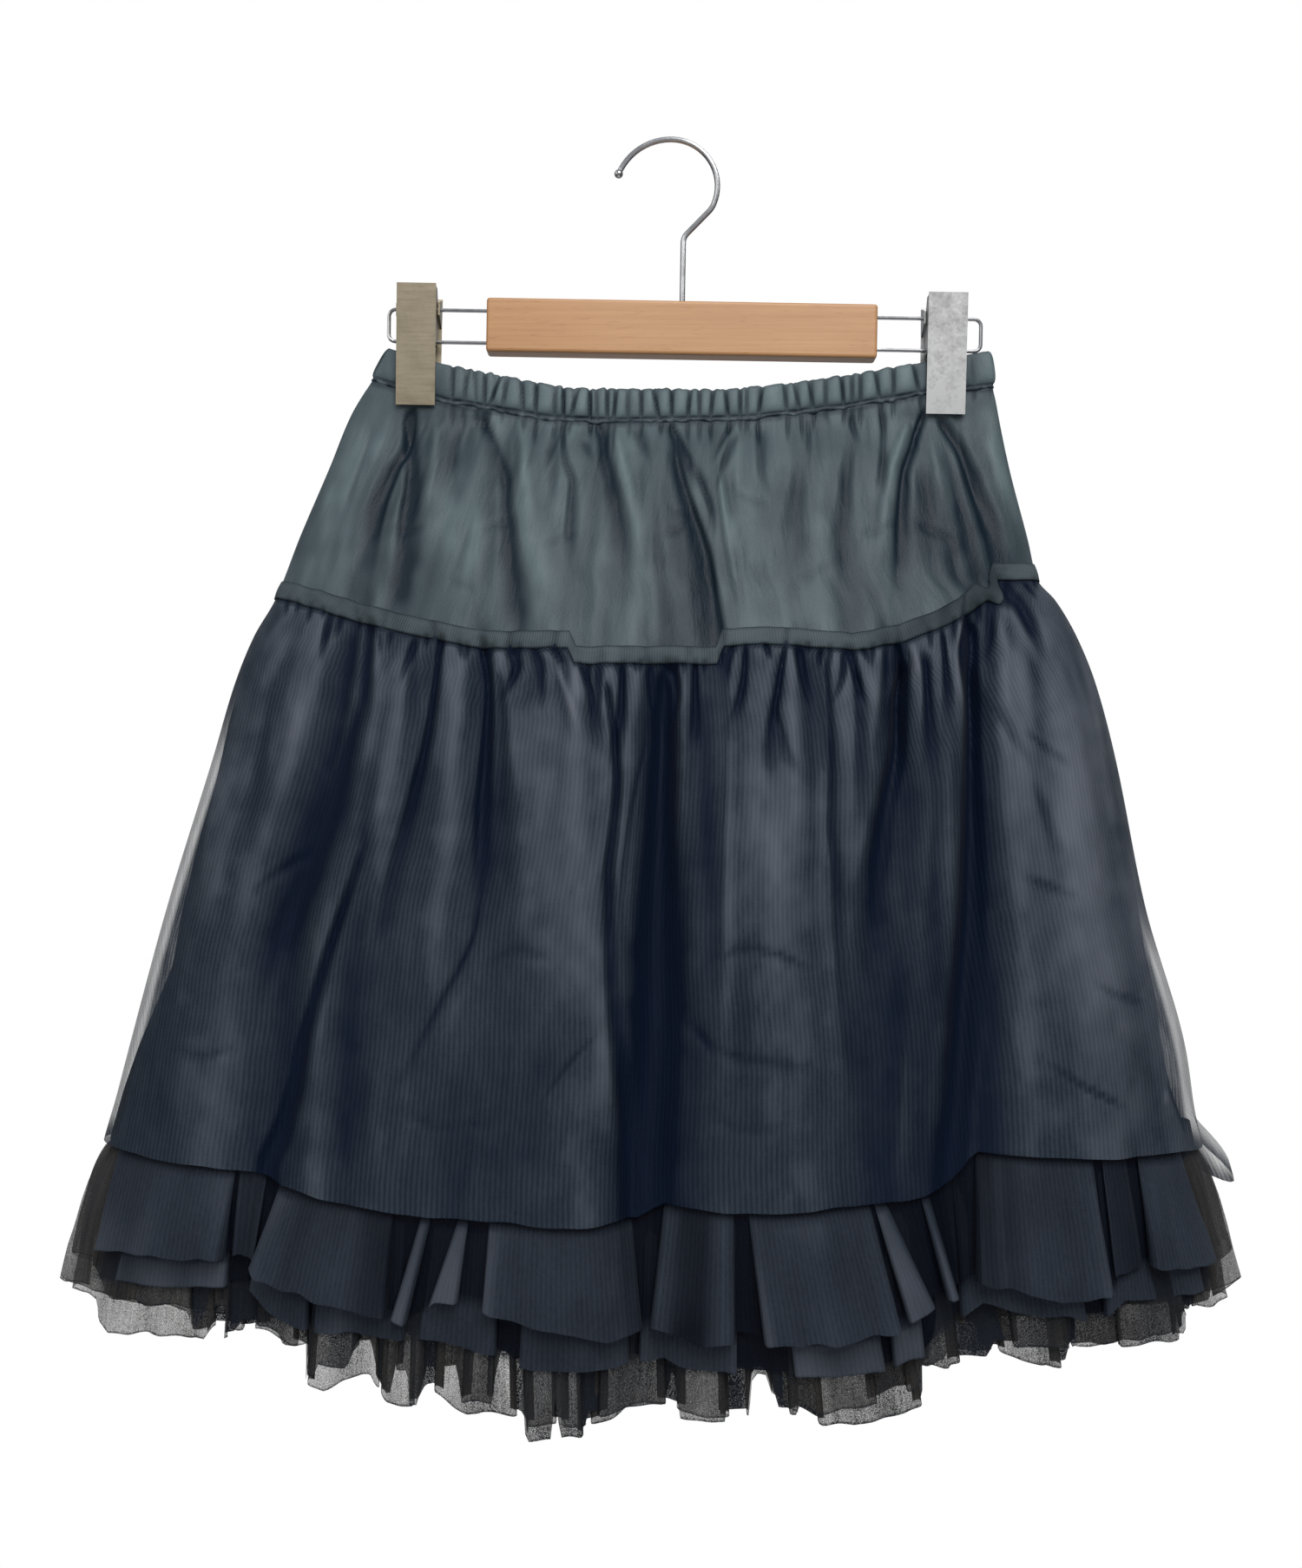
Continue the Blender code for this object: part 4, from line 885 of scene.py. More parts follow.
# each pleat: left edge at the seam and at the hem, right edge at the seam and at the hem, how far it stands out
upperPleats = [
    (-290, -297, -221, -227, 3.2), (-218, -222, -205, -212, -3.4), (-196, -211, -136, -139, 3.4),
    (-121, -136, -117, -129, 3.0), (-103, -118, -99, -105, 3.0), (-88, -92, -21, -16, 3.4),
    (-4, -11, 28.5, 28, 3.4), (36, 43, 95, 109, 3.4), (98, 114, 103, 127, 2.8), (122, 135, 125.5, 140, 2.8),
    (153, 151, 211, 216, 3.4), (217, 222, 230, 237, -2.6), (238, 243, 265, 279, 3.0),
]
lowerPleats = [
    (-288, -298, -222, -226, 2.5), (-205, -214, -178, -180, 2.5), (-172, -176, -130, -131, 2.5),
    (-116, -124, -84, -86, 2.5), (-70, -74, -24, -22, 2.5), (-14, -17, 30, 29, 2.5), (50, 57, 90, 101, 2.5),
    (100, 106, 116, 121, 2.5), (140, 143, 196, 205, 2.5), (214, 216, 262, 274, 2.5),
]
shortPleats = [
    (-286, -294, -236, -242, 2.0), (-228, -230, -220, -222, 1.4), (-204, -208, -182, -186, 2.0),
    (-172, -179, -150, -155, 2.0), (-128, -135, -118, -121, 1.6), (-96, -102, -84, -87, 2.0),
    (-70, -72, -46, -44, 2.0), (-34, -36, -6, -5, 2.0), (0, 0, 22, 24, 2.0), (50, 54, 88, 96, 2.0),
    (106, 112, 132, 140, 2.0), (160, 168, 190, 194, 2.0), (214, 220, 246, 256, 2.0),
]
longPleats = [
    (-296, -302, -226, -230, 2.0), (-218, -222, -213, -216, 1.4), (-206, -210, -178, -181, 2.0),
    (-172, -179, -142, -144, 2.2), (-138, -142, -124, -126, 2.0), (-112, -116, -77, -76, 2.2),
    (-72, -70, -58, -57, 1.8), (-54, -54, -44, -43, 1.6), (-36, -40, -6, -5, 2.0), (2, 1, 24, 25, 2.0),
    (32, 34, 44, 46, 1.6), (49, 50, 56, 58, 1.6), (62, 68, 108, 119, 2.4), (120, 123, 142, 158, 1.6),
    (156, 162, 184, 190, 2.0), (196, 198, 240, 256, 2.0), (258, 262, 270, 280, 1.6),
]
seamLevel, hemLevel = 540.0, 595.0  # the drops where the pleats' places are read
frillCut = {  # what all four frills share
    "uneven": 1.2, "tuckedUp": 2.0,  # how ragged the cut edge is, and how much higher it hangs under the pleats
    "flutter": 0.9, "ends": (-293, 274), "endsOver": 9,  # past the ends nothing covers the tulle
    # painted shading: its strength from the pleats' relief, random mottling, the share behind, its limits, and the
    # painted shadow under a covering frill
    "paintedCrests": 0.05, "mottle": 0.22, "backPaintedShading": 0.3, "lightest": -0.45, "darkest": 0.97, "coverShadow": 0.92,
}
# fold: how deep a pleat's edges turn under, and tuckIn how far
# lift: how far off the form at the seam and at the hem; grow and flare: how much wider at the hem, and how soon
# ripple and waveLength: the small waves across a pleat; backDrop: how much lower the hem hangs behind
# each frill's last table: painted shade above 0 and painted light below 0, along x
frills = {
    "upperFrill": {
        "pleats": upperPleats, "fold": 8.0, "tuckIn": 7.0, "ripple": 1.5, "waveLength": 15, "lift": (-2.0, 1.0),
        "grow": 1.0, "flare": 0.8, "backDrop": 0, "coveredBy": "hem", "edgeShade": 0.0, "seed": 1,
        "columns": 1500, "rows": 22, "flat": (2.0, 0.066),
        "nodes": "upper_frill", "slot": "ribbed_mesh", "finish": "frillMesh",
        "paintedShading": [
            (-297, 0.0), (-232, 0.06), (-222, 0.3), (-209, -0.05), (-199, 0.0), (-192, 0.26), (-180, 0.1),
            (-160, 0.16), (-150, 0.6), (-138, 0.9), (-136, -0.1), (-132, -0.15), (-129, 0.35), (-126, 0.5),
            (-121, 0.3), (-117, -0.22), (-105, -0.1), (-99, 0.2), (-92, -0.06), (-84, 0.04), (-40, 0.16),
            (-28, 0.36), (-16, 0.55), (-10, 0.2), (-5, 0.4), (0, 0.85), (12, 0.9), (18, 0.35), (23, 0.05),
            (27, 0.4), (30, 0.6), (42, 0.06), (50, 0.16), (56, -0.05), (80, 0.06), (100, 0.26), (109, 0.3),
            (115, -0.1), (125, 0.05), (131, 0.6), (138, 0.05), (143, 0.9), (151, 0.9), (158, 0.8), (163, 0.35),
            (167, 0.55), (174, 0.3), (186, 0.18), (205, 0.08), (216, 0.15), (222, 0.35), (237, 0.6), (243, 0.35),
            (250, 0.0), (260, -0.2), (279, -0.15),
        ],
    },
    "lowerFrill": {
        "pleats": lowerPleats, "fold": 3.2, "tuckIn": 5.0, "ripple": 1.0, "waveLength": 14, "lift": (-3.2, -8.4),
        "grow": 3.0, "flare": 0.8, "backDrop": 17, "coveredBy": "upperFrill", "edgeShade": 0.0, "seed": 2,
        "columns": 1100, "rows": 20, "flat": (1.9, 0.08),
        "nodes": "lower_frill", "slot": "ribbed_mesh", "finish": "frillMesh",
        "paintedShading": [
            (-298, -0.3), (-228, -0.25), (-222, 0.15), (-130, 0.12), (-24, 0.2), (40, 0.0), (60, -0.3), (100, -0.2),
            (140, 0.2), (274, 0.1),
        ],
    },
    "shortTulle": {
        "pleats": shortPleats, "fold": 2.6, "tuckIn": 4.0, "ripple": 1.2, "waveLength": 9, "lift": (-4.4, -14.5),
        "grow": 22.0, "flare": 0.48, "backDrop": 26, "coveredBy": "lowerFrill", "edgeShade": 1.0, "seed": 3,
        "columns": 1100, "rows": 22, "flat": (1.8, 0.09),
        "nodes": "short_tulle_frill", "slot": "tulle", "finish": "tulle",
        "paintedShading": [
            (-322, -0.5), (-300, -0.3), (-290, 0.2), (-236, 0.3), (-226, 0.55), (56, 0.55), (62, 0.15), (112, 0.15),
            (120, 0.6), (268, 0.55), (280, -0.2), (304, -0.5),
        ],
    },
    "longTulle": {
        "pleats": longPleats, "fold": 3.0, "tuckIn": 4.0, "ripple": 1.8, "waveLength": 9, "lift": (-5.6, -18.5),
        "grow": 28.0, "flare": 0.51, "backDrop": 38, "coveredBy": "lowerFrill", "edgeShade": 1.0, "seed": 4,
        "columns": 1500, "rows": 28, "flat": (1.9, 0.1),
        "nodes": "long_tulle_frill", "slot": "tulle", "finish": "tulle",
        "paintedShading": [(-326, -0.5), (-300, -0.3), (-288, 0.2), (268, 0.2), (280, -0.2), (308, -0.5)],
    },
}


def angleAt(x, drop):  # the front's angle where it passes x
    left, right, _, _ = formReach(np.array([drop]))
    half, middle = (left + right) / 2, (right - left) / 2
    return float(np.arcsin(np.clip((x - middle) / half, -0.999, 0.999))[0])


def backPleats(seed):  # the back's pleats, uneven as the front's are
    draw = np.random.default_rng(seed)
    found, x = [], 262.0
    while x > -270:
        width = draw.uniform(24, 62) if draw.random() < 0.65 else draw.uniform(6, 12)
        lean = draw.uniform(-5, 5)
        found.append((x, x + lean, max(x - width, -284), max(x - width + lean * 0.4, -286), draw.uniform(2.4, 3.4)))
        x -= width + draw.uniform(8, 18)
    return found


def pleatPath(settings):  # points of the frill's path: angle at the seam, angle at the hem, how far it stands out
    fold, tuckIn = settings["fold"], settings["tuckIn"]
    path = []

    def addPleat(seamStart, hemStart, seamEnd, hemEnd, out, side):
        seamWidth, hemWidth = abs(seamEnd - seamStart), abs(hemEnd - hemStart)
        tuck = min(tuckIn * (0.3 + 0.7 * abs(math.sin(1.7 * hemStart))), 0.45 * hemWidth + 1.5)
        turn = 1 if side == "front" else -1
        # from under the pleat's edge out on to its face: how far along, how far out
        steps = [(tuck, -fold), (0.35 * tuck, -0.82 * fold), (-0.5, -0.35 * fold),
                 (0.3, 0.55 * out), (1.6, 0.95 * out)]

        def foldUnder(seam, hem, turn, steps):  # the steps are shorter on a narrow pleat
            return [(seam + turn * min(shift, 0.4 * seamWidth),
                     hem + turn * min(shift, 0.4 * hemWidth + (1.5 if shift > 2 else 0)), depth)
                    for shift, depth in steps]

        spots = foldUnder(seamStart, hemStart, turn, steps)
        count = int(hemWidth / settings["waveLength"]) if hemWidth > 16 else 0
        for place in range(count):
            part = (place + 1) / (count + 1)
            spots.append((seamStart + (seamEnd - seamStart) * part, hemStart + (hemEnd - hemStart) * part,
                          0.6 * out + settings["ripple"] * math.sin(2.1 * place + 0.7 * hemStart)))
        spots += foldUnder(seamEnd, hemEnd, -turn, steps[::-1])
        for seam, hem, depth in spots:
            angles = [angleAt(seam, seamLevel), angleAt(hem, hemLevel)]
            if side == "back":
                angles = [math.pi - angle for angle in angles]
            path.append((*angles, depth))

    path.append((-math.pi / 2, -math.pi / 2, -0.5 * fold))
    for pleat in settings["pleats"]:
        addPleat(*pleat, "front")
    path.append((math.pi / 2, math.pi / 2, -0.5 * fold))
    for pleat in backPleats(settings["seed"]):
        addPleat(*pleat, "back")
    path.append((1.5 * math.pi, 1.5 * math.pi, -0.5 * fold))
    return np.array(path)


def smoothPath(path, count):  # a rounded line through the path's points, spaced evenly along the hem
    fine = np.linspace(0, len(path) - 1, 24 * len(path))
    k = np.clip(np.floor(fine).astype(int), 0, len(path) - 2)
    t = (fine - k)[:, None]
    before, after = path[np.maximum(k - 1, 0)], path[np.minimum(k + 2, len(path) - 1)]
    start, end = path[k], path[k + 1]
    curve = 0.5 * (2 * start + (end - before) * t + (2 * before - 5 * start + 4 * end - after) * t**2
                   + (3 * start - before - 3 * end + after) * t**3)
    ground = hangOut(curve[:, 1], np.full(len(curve), hemLevel), curve[:, 2])
    run = np.concatenate([[0.0], np.cumsum(np.linalg.norm(np.diff(ground, axis=0), axis=-1))])
    even = np.linspace(0, run[-1], count + 1)
    return np.stack([np.interp(even, run, curve[:, column]) for column in range(3)], axis=-1)


def makeFrill(name):
    settings = frills[name]
    path = smoothPath(pleatPath(settings), settings["columns"])
    seamAngle, hemAngle, out = path.T
    shares = np.concatenate([np.linspace(0, 0.985, settings["rows"]) ** 0.9, [1.0]])
    hemLine = edgeAt(seamAngle, "hem")
    seam = hemLine - frillTuck
    low, high = settings["lift"]
    x = hangOut(hemAngle, np.full(hemAngle.shape, hemLevel), high + out, 0.0, settings["grow"])[:, 0] / mm
    front = np.cos(hemAngle) >= 0
    atSide, atBack = edgeDrop(name, 340 * np.sign(x)), edgeDrop("frillBack", x) + settings["backDrop"]
    behind = atSide + (atBack - atSide) * ease(1.3 * np.abs(np.cos(hemAngle)))  # meets the front's at the sides
    raw = softNoise(40 + settings["seed"], x + 400, 0 * x, 9, 9)  # the cut edge's unevenness
    recess = ease(-out / (0.75 * settings["fold"]))
    bottom = np.where(front, edgeDrop(name, x), behind)
    bottom = bottom + frillCut["uneven"] * raw - frillCut["tuckedUp"] * recess
    drop = layRows(seam, bottom, shares)
    below = np.clip((drop - hemLine) / (bottom - hemLine), 0, 1)
    angle = seamAngle + (hemAngle - seamAngle) * below
    free = 0.02 + 0.98 * below ** 0.8
    flutter = frillCut["flutter"] * softNoise(50 + settings["seed"], x + 400, 6 * drop, 11, 90) * below
    lift = low + (high - low) * below + out * free + flutter
    push, _ = foldsAt(np.broadcast_to(seamAngle, drop.shape), np.minimum(drop, hemLine))
    reach = settings["grow"] * (1 - 0.12 * ease((np.sin(angle) - 0.6) / 0.4))
    points = hangOut(angle, drop, lift, push * (1 - 0.35 * below), reach * below ** settings["flare"])
    if settings["coveredBy"] == "hem":
        coverLine = hemLine
    else:  # the frill outside this one keeps it dark as far as its own hem
        outer = settings["coveredBy"]
        outerBack = edgeDrop("frillBack", x) + frills[outer]["backDrop"]
        coverLine = np.where(front, edgeDrop(outer, x), outerBack) - 2
    (leftEnd, rightEnd), over = frillCut["ends"], frillCut["endsOver"]
    bare = np.maximum(ease((x - rightEnd) / over), ease((leftEnd - x) / over))
    # painted shadow under the edge that covers this frill
    under = (1 - ease((drop - coverLine) / 6)) * (1 - 0.9 * bare)
    # painted highlight on the pleats' crests and painted shade between them, random mottling, and painted shade and
    # light along x
    paintedCrests = frillCut["paintedCrests"] * relief(-out[None, :], 14) * (0.3 + 0.7 * below)
    paintedCrests = paintedCrests + frillCut["mottle"] * softNoise(60 + settings["seed"], x + 400, drop, 20, 34)
    paintedCrests = paintedCrests + np.interp(x, *zip(*settings["paintedShading"])) * np.where(front, 1.0, frillCut["backPaintedShading"])
    paintedCrests = np.clip(paintedCrests, frillCut["lightest"], frillCut["darkest"])
    # painted shade in the gaps between pleats, and painted shadow under the covering cloth
    shade = darkened(paintedCrests, np.maximum(recess * (1 - 0.95 * bare), frillCut["coverShadow"] * under))
    shade[-1] = np.maximum(shade[-1], settings["edgeShade"])
    along = alongEdge(points)
    piece = clothTube(name, points, along, drop - hemLine, shade)
    return finishPiece(piece, bothSides(settings["nodes"]), finishes[settings["finish"]])


hangerTilt = math.radians(1.0)  # the hanger hangs with its right end lower
# steps are those of one turn, and height is below the top of the hook's inside
spring = {"outer": 6.2, "length": 12.4, "wire": 0.9, "turns": 9, "steps": 20, "height": -91.0}


def makeSpring(side):
    radius = (spring["outer"] - spring["wire"]) / 2
    run = spring["length"] - spring["wire"]
    pitch = run / spring["turns"]
    shape = bmesh.new()
    ring = bmesh.ops.create_circle(shape, segments=8, radius=spring["wire"] / 2 * mm)["verts"]
    bmesh.ops.transform(shape, verts=ring, matrix=Matrix.Translation(Vector((-run / 2, radius, 0)) * mm))
    bmesh.ops.spin(shape, geom=list(shape.verts) + list(shape.edges), cent=(0, 0, 0), axis=(1, 0, 0),
                   dvec=(pitch / spring["steps"] * mm, 0, 0), angle=math.tau * spring["turns"],
                   steps=spring["turns"] * spring["steps"])
    bmesh.ops.holes_fill(shape, edges=[edge for edge in shape.edges if edge.is_boundary], sides=8)
    bmesh.ops.recalc_face_normals(shape, faces=list(shape.faces))
    place = Matrix.Translation(Vector((clipCentres[side], 0, spring["height"])) * mm)
    shape.transform(Matrix.Rotation(hangerTilt, 4, "Y") @ place)
    piece = newPiece(f"coilSpring_{side}", bpy.data.meshes.new(f"coilSpring_{side}"), shape)
    return finishPiece(piece, [f"clip_spring_{side}"], finishes["chrome"])


def setInputs(tree, node, inputs):  # links a socket, and sets anything else
    for key, value in inputs.items():
        if isinstance(value, bpy.types.NodeSocket):
            tree.links.new(value, node.inputs[key])
        else:
            node.inputs[key].default_value = value


def addNode(tree, kind, inputs, **settings):
    node = tree.nodes.new(kind)
    for key, value in settings.items():
        setattr(node, key, value)
    setInputs(tree, node, inputs)
    return node


def newFinish(name, roughness, metallic=0.0):
    made = bpy.data.materials.new(name)
    made.use_nodes = True
    shader = made.node_tree.nodes["Principled BSDF"]
    setInputs(made.node_tree, shader, {"Roughness": roughness, "Metallic": metallic})
    return made, made.node_tree, shader


def ramp(tree, factor, stops):
    node = addNode(tree, "ShaderNodeValToRGB", {"Fac": factor})
    line = node.color_ramp
    while len(line.elements) > 1:
        line.elements.remove(line.elements[-1])
    line.elements[0].position, line.elements[0].color = stops[0][0], (*stops[0][1], 1)
    for position, colour in stops[1:]:
        line.elements.new(position).color = (*colour, 1)
    return node.outputs["Color"]


def combine(tree, operation, first, second, clamp=False):
    return addNode(tree, "ShaderNodeMath", {0: first, 1: second}, operation=operation, use_clamp=clamp).outputs[0]


def blended(tree, *parts):  # each part's value times its weight, added up
    total = None
    for value, weight in parts:
        share = combine(tree, "MULTIPLY", value, weight)
        total = share if total is None else combine(tree, "ADD", total, share)
    return total


def mapRange(tree, value, low, high, **ends):  # from 0 and 1, or the ends given, to low and high
    return addNode(tree, "ShaderNodeMapRange", {"Value": value, "To Min": low, "To Max": high, **ends}).outputs[0]


def mixColour(tree, factor, first, second, blendType="MIX"):
    first, second = [(*value, 1) if isinstance(value, tuple) else value for value in (first, second)]
    return addNode(tree, "ShaderNodeMix", {0: factor, 6: first, 7: second}, data_type="RGBA",
                   blend_type=blendType).outputs[2]


def clothWeave(tree):
    return addNode(tree, "ShaderNodeUVMap", {}, uv_map="weave").outputs["UV"]


def attribute(tree, name):
    return addNode(tree, "ShaderNodeAttribute", {}, attribute_name=name).outputs["Fac"]


def noise(tree, vector, stretch, detail=3.0, rough=0.55):  # a higher stretch is finer in that direction
    spread = addNode(tree, "ShaderNodeMapping", {"Vector": vector, "Scale": stretch}).outputs["Vector"]
    return addNode(tree, "ShaderNodeTexNoise", {"Vector": spread, "Scale": 1.0, "Detail": detail,
                                                "Roughness": rough}).outputs["Fac"]


def bands(tree, vector, period, distortion, direction="X", detailScale=1.0):  # period in metres
    return addNode(tree, "ShaderNodeTexWave", {"Vector": vector, "Scale": 0.31416 / period, "Detail": 1.0,
                                               "Distortion": distortion, "Detail Scale": detailScale},
                   wave_type="BANDS", bands_direction=direction).outputs["Fac"]


# mixes painted shade into troughs and painted highlights onto ridges
def shadedBy(tree, colour, depth, darkColour, litColour):  # troughs darker, ridges lighter
    paintedShade = attribute(tree, "paintedShade")
    paintedDark = mixColour(tree, combine(tree, "MULTIPLY", paintedShade, depth, True), colour, darkColour)
    return mixColour(tree, combine(tree, "MULTIPLY", paintedShade, -0.7, True), paintedDark, litColour)


def bump(tree, height, strength, distance):
    return addNode(tree, "ShaderNodeBump", {"Height": height, "Strength": strength,
                                            "Distance": distance}).outputs[0]


def satinFinish():
    made, tree, shader = newFinish("satin", 0.46)
    weave = clothWeave(tree)
    soft = noise(tree, weave, (30, 8, 1))
    threads = noise(tree, weave, (900, 2600, 1), 2)
    slub = noise(tree, weave, (60, 900, 1), 2)
    crumple = noise(tree, weave, (95, 34, 1), 4, 0.6)
    colour = ramp(tree, blended(tree, (soft, 0.5), (threads, 0.5)),
                  [(0.3, (0.033, 0.049, 0.057)), (0.7, (0.069, 0.095, 0.106))])
    height = combine(tree, "ADD", blended(tree, (threads, 0.12), (slub, 0.05)), crumple)
    setInputs(tree, shader, {
        # painted shade colour and painted highlight colour of the satin
        "Base Color": shadedBy(tree, colour, 0.97, (0.0006, 0.0075, 0.0155), (0.158, 0.212, 0.220)),
        "Normal": bump(tree, height, 0.5, 0.0022), "Specular IOR Level": 0.22,
        "Sheen Weight": 0.03, "Sheen Roughness": 0.45, "Sheen Tint": (0.75, 0.87, 0.95, 1),
    })
    return made


def tapeFinish():
    made, tree, shader = newFinish("ribbedTape", 0.62)
    weave = clothWeave(tree)
    ribs = bands(tree, weave, 0.0014, 0.8)
    soft = noise(tree, weave, (60, 200, 1))
    colour = ramp(tree, blended(tree, (ribs, 0.34), (soft, 0.66)),
                  [(0.15, (0.028, 0.040, 0.046)), (0.85, (0.070, 0.090, 0.100))])
    setInputs(tree, shader, {
        # painted shade colour and painted highlight colour of the tape
        "Base Color": shadedBy(tree, colour, 0.9, (0.003, 0.007, 0.011), (0.13, 0.16, 0.17)),
        "Normal": bump(tree, ribs, 0.5, 0.0005), "Specular IOR Level": 0.12,
    })
    return made


# fine ribbed net: threads, and small openings between; cover is the share without openings, and how far it varies;
# the dark colour is the one its painted shade mixes towards
netLooks = {
    "ribbedMesh": {"rib": 0.0026, "ribWeight": 0.22, "low": (0.010, 0.0165, 0.025), "high": (0.041, 0.054, 0.072),
                   "paintedDark": (0.0006, 0.0045, 0.0165), "cover": 0.62, "coverSpread": 0.50},
    "frillMesh": {"rib": 0.0026, "ribWeight": 0.10, "low": (0.013, 0.018, 0.027), "high": (0.042, 0.053, 0.071),
                  "paintedDark": (0.0006, 0.002, 0.0065), "cover": 0.75, "coverSpread": 0.3},
}


def meshFinish(name):
    made, tree, shader = newFinish(name, 0.6)
    look = netLooks[name]
    weave = clothWeave(tree)
    ribs = bands(tree, weave, look["rib"], 1.2, detailScale=0.6)
    crossing = bands(tree, weave, look["rib"] * 0.75, 0.6, "Y")
    streak = noise(tree, weave, (260, 45, 1), 2, 0.5)
    cloud = noise(tree, weave, (34, 14, 1), 4)
    grain = noise(tree, weave, (480, 300, 1), 4, 0.8)
    crinkle = noise(tree, weave, (150, 34, 1), 5, 0.7)
    tone = blended(tree, (ribs, look["ribWeight"]), (streak, 0.12), (cloud, 0.28), (grain, 0.46))
    colour = ramp(tree, tone, [(0.30, look["low"]), (0.90, look["high"])])
    cloth = blended(tree, (ribs, 0.20), (crossing, 0.03), (streak, 0.20), (crinkle, 0.8),
                    (attribute(tree, "sheer"), -1.05))
    opening = addNode(tree, "ShaderNodeMath", {0: cloth, 1: look["coverSpread"], 2: look["cover"]},
                      operation="MULTIPLY_ADD", use_clamp=True).outputs[0]
    setInputs(tree, shader, {
        # painted shade and painted highlight mixed into the net's colour
        "Base Color": shadedBy(tree, colour, 0.98, look["paintedDark"], (0.135, 0.150, 0.180)), "Alpha": opening,
        "Normal": bump(tree, ribs, 0.2, 0.0006), "Sheen Weight": 0.02, "Specular IOR Level": 0.10,
    })
    return made


def liningFinish():
    made, tree, shader = newFinish("lining", 0.62)
    weave = clothWeave(tree)
    threads = noise(tree, weave, (700, 1200, 1), 2)
    soft = noise(tree, weave, (20, 8, 1))
    setInputs(tree, shader, {
        "Base Color": ramp(tree, blended(tree, (threads, 0.5), (soft, 0.5)),
                           [(0.3, (0.014, 0.020, 0.028)), (0.7, (0.024, 0.033, 0.043))]),
        "Normal": bump(tree, threads, 0.15, 0.0005), "Specular IOR Level": 0.1,
    })
    return made


def tulleFinish():
    made, tree, shader = newFinish("tulle", 0.8)
    weave = clothWeave(tree)
    streak = noise(tree, weave, (420, 12, 1), 4, 0.7)
    cloud = noise(tree, weave, (40, 16, 1))
    holes = addNode(tree, "ShaderNodeTexVoronoi", {"Vector": weave, "Scale": 1300.0}, feature="DISTANCE_TO_EDGE")
    threads = combine(tree, "SUBTRACT", 1.0, combine(tree, "MULTIPLY", holes.outputs[0], 4.0, True), True)
    colour = ramp(tree, streak, [(0.3, (0.012, 0.013, 0.015)), (0.75, (0.058, 0.052, 0.045))])
    cover = blended(tree, (streak, 0.44), (threads, 0.40), (cloud, 0.50))
    # denser where its painted shade lies: in folds, where the tulle lies doubled, and in the painted shadow under
    # the frill above
    denserInShade = combine(tree, "MULTIPLY", attribute(tree, "paintedShade"), 0.34)  # denser where it lies in folds
    setInputs(tree, shader, {
        # painted shade colour and painted highlight colour of the tulle
        "Base Color": shadedBy(tree, colour, 0.9, (0.007, 0.010, 0.016), (0.115, 0.120, 0.135)),
        "Alpha": combine(tree, "ADD", cover, denserInShade, True), "Specular IOR Level": 0.1,
    })
    return made


def objectPlace(tree):
    return addNode(tree, "ShaderNodeTexCoord", {}).outputs["Object"]


def chromeFinish():
    made, tree, shader = newFinish("chrome", 0.14, 1.0)
    place = objectPlace(tree)
    smears = noise(tree, place, (90, 90, 90), 4)
    scratches = noise(tree, place, (120, 700, 700), 2)
    setInputs(tree, shader, {
        "Base Color": ramp(tree, smears, [(0.3, (0.38, 0.38, 0.39)), (0.7, (0.58, 0.58, 0.58))]),
        "Roughness": mapRange(tree, smears, 0.10, 0.26), "Normal": bump(tree, scratches, 0.012, 0.0002),
    })
    return made


# brushed steel; spots: how strong its mottling is; the last entry: how much lighter a clip is painted towards its
# foot, a painted light
steelLooks = {
    "leftClip": {"low": (0.20, 0.170, 0.118), "high": (0.30, 0.258, 0.188), "stretch": (60, 60, 700),
                 "spots": 0.05, "footPaintedLight": 0.05},
    "rightClip": {"low": (0.18, 0.18, 0.176), "high": (0.36, 0.36, 0.355), "stretch": (160, 160, 160),
                  "spots": 0.20, "footPaintedLight": 0.25},
}


def steelFinish(name):
    made, tree, shader = newFinish(f"{name}Steel", 0.42, 1.0)
    look = steelLooks[name]
    place = objectPlace(tree)
    brushed = noise(tree, place, look["stretch"], 4, 0.6)
    cloud = noise(tree, place, (90, 90, 90), 4)
    cells = addNode(tree, "ShaderNodeTexVoronoi", {"Vector": place, "Scale": 650.0}).outputs["Color"]
    mottle = combine(tree, "SUBTRACT", cells, 0.5)
    height = addNode(tree, "ShaderNodeSeparateXYZ", {0: place}).outputs[2]
    paintedFootLight = mapRange(tree, height, 0.0, look["footPaintedLight"], **{"From Min": -0.09, "From Max": -0.14})
    tone = combine(tree, "ADD", blended(tree, (brushed, 0.6), (cloud, 0.4), (mottle, look["spots"])), paintedFootLight)
    setInputs(tree, shader, {
        "Base Color": ramp(tree, tone, [(0.3, look["low"]), (0.7, look["high"])]),
        "Roughness": mapRange(tree, cloud, 0.34, 0.52), "Normal": bump(tree, brushed, 0.08, 0.0003),
    })
    return made


def woodFinish():
    made, tree, shader = newFinish("beech", 0.42)
    place = objectPlace(tree)
    grain = noise(tree, place, (6, 300, 420), 5, 0.6)
    fine = noise(tree, place, (40, 1600, 1900), 4, 0.6)
    cloud = noise(tree, place, (9, 40, 40))
    flecks = noise(tree, place, (120, 900, 900), 2)
    colour = ramp(tree, blended(tree, (grain, 0.5), (cloud, 0.35), (fine, 0.15)),
                  [(0.32, (0.37, 0.172, 0.062)), (0.55, (0.455, 0.235, 0.095)), (0.72, (0.52, 0.285, 0.128))])
    marks = ramp(tree, flecks, [(0.60, (1, 1, 1)), (0.74, (0.86, 0.80, 0.76))])
    setInputs(tree, shader, {
        "Base Color": mixColour(tree, 1.0, colour, marks, "MULTIPLY"),
        "Normal": bump(tree, combine(tree, "ADD", grain, fine), 0.08, 0.0004),
        "Coat Weight": 0.15, "Coat Roughness": 0.3,
    })
    return made


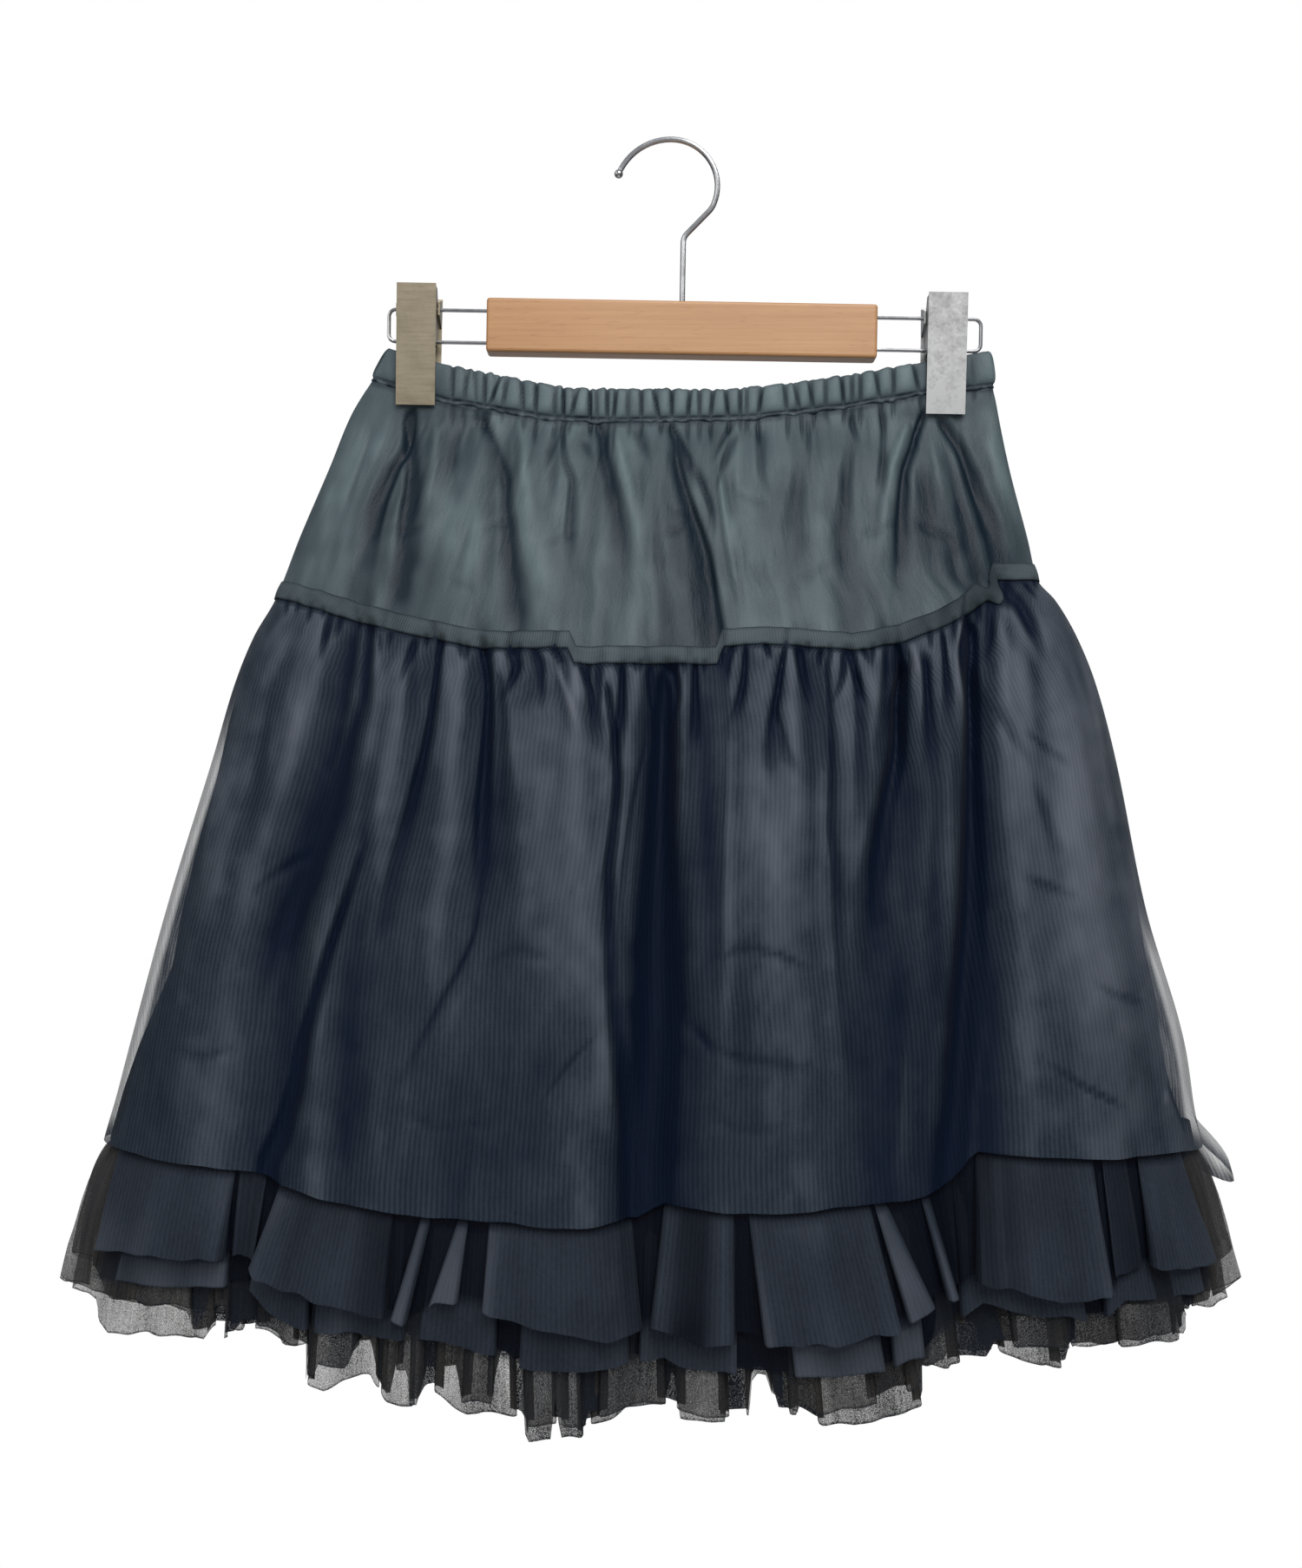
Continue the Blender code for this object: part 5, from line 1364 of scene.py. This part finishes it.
finishes = {
    "satin": satinFinish(), "tape": tapeFinish(), "lining": liningFinish(), "tulle": tulleFinish(),
    "ribbedMesh": meshFinish("ribbedMesh"), "frillMesh": meshFinish("frillMesh"),
    "chrome": chromeFinish(), "wood": woodFinish(),
    "leftClip": steelFinish("leftClip"), "rightClip": steelFinish("rightClip"),
}
hangerFinish = {
    "hanger_hook": "chrome", "hanger_bar": "wood", "hanger_rail_left": "chrome", "hanger_rail_right": "chrome",
    "clip_front_left": "leftClip", "clip_rear_left": "leftClip", "clip_front_right": "rightClip",
    "clip_rear_right": "rightClip",
}


def dressHanger():
    for node, finish in hangerFinish.items():
        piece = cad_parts[node]
        if not piece.material_slots:
            piece.data.materials.append(finishes[finish])
        for slot in piece.material_slots:
            slot.material = finishes[finish]


studio = {
    "cameraPlace": (-0.011, -0.92, -0.3397), "lens": 39.9, "sensorWidth": 36.0,
    "floorHeight": -1.15, "floorRadius": 0.85, "floorColour": (0.86, 0.86, 0.86, 1), "lightsLookAt": (0, 0, -0.35),
    "lights": {  # place, power, width
        "keyLight": ((0.35, -1.35, 0.85), 27.0, 1.2), "fillLight": ((-1.3, -0.9, 0.3), 6.0, 1.4),
    },
    # the room's own glow: darkest towards the floor, lightest above and in front
    "glow": [(0.10, (0.05, 0.05, 0.055)), (0.35, (0.13, 0.13, 0.14)), (0.60, (0.42, 0.43, 0.45)),
             (0.95, (0.85, 0.86, 0.90))],
}


def setCamera():
    lens = bpy.data.cameras.new("camera")
    lens.lens, lens.sensor_width = studio["lens"], studio["sensorWidth"]
    lens.clip_start, lens.clip_end = 0.01, 50.0
    camera = newObject("camera", lens)
    camera.location = studio["cameraPlace"]
    camera.rotation_euler = (math.pi / 2, 0, 0)
    bpy.context.scene.camera = camera


def setFloor():
    shape = bmesh.new()
    bmesh.ops.create_circle(shape, cap_ends=True, segments=96, radius=studio["floorRadius"])
    mesh = bpy.data.meshes.new("floor")
    shape.to_mesh(mesh)
    shape.free()
    floor = newObject("floor", mesh)
    floor.location.z = studio["floorHeight"]
    pale, _, shader = newFinish("paleFloor", 0.9)
    shader.inputs["Base Color"].default_value = studio["floorColour"]
    mesh.materials.append(pale)


def setLights():
    for name, (place, power, width) in studio["lights"].items():
        lamp = bpy.data.lights.new(name, "AREA")
        lamp.energy, lamp.size = power, width
        light = newObject(name, lamp)
        light.location = place
        toMiddle = Vector(studio["lightsLookAt"]) - Vector(place)
        light.rotation_euler = toMiddle.to_track_quat("-Z", "Y").to_euler()


def setRoom():  # lit softly from above and in front, and plain white where it shows
    world = bpy.data.worlds.new("studio")
    bpy.context.scene.world = world
    world.use_nodes = True
    tree = world.node_tree
    tree.nodes.clear()
    sky = addNode(tree, "ShaderNodeTexCoord", {}).outputs["Generated"]
    toward = addNode(tree, "ShaderNodeSeparateXYZ", {0: sky})
    height = mapRange(tree, toward.outputs[2], 0.0, 1.0, **{"From Min": -1.0, "From Max": 1.0})
    frontBack = combine(tree, "POWER", toward.outputs[1], 2.0)
    glow = ramp(tree, blended(tree, (frontBack, 0.45), (height, 0.55)), studio["glow"])
    soft = addNode(tree, "ShaderNodeBackground", {"Color": glow, "Strength": 1.0}).outputs[0]
    plain = addNode(tree, "ShaderNodeBackground", {"Color": (1, 1, 1, 1), "Strength": 1.0}).outputs[0]
    seen = addNode(tree, "ShaderNodeLightPath", {}).outputs["Is Camera Ray"]
    both = addNode(tree, "ShaderNodeMixShader", {0: seen, 1: soft, 2: plain}).outputs[0]
    addNode(tree, "ShaderNodeOutputWorld", {"Surface": both})


setCamera()
setFloor()
setLights()
setRoom()
bpy.context.scene.view_settings.view_transform = "Standard"
bpy.context.scene.cycles.transparent_max_bounces = 24  # the net and tulle lie in many layers
print("studio set")
dressHanger()
print("hanger dressed")
bandPiece = makeBand()
yokePiece = makeYoke()
tapePiece = makeTape()
print("band, yoke and tape made")
skirtPiece = makeOverskirt()
liningPiece = makeUnderskirt()
print("skirt layers made")
frillPieces = {name: makeFrill(name) for name in frills}
print("frills made")
for side in ("left", "right"):
    makeSpring(side)
print("clip springs made")
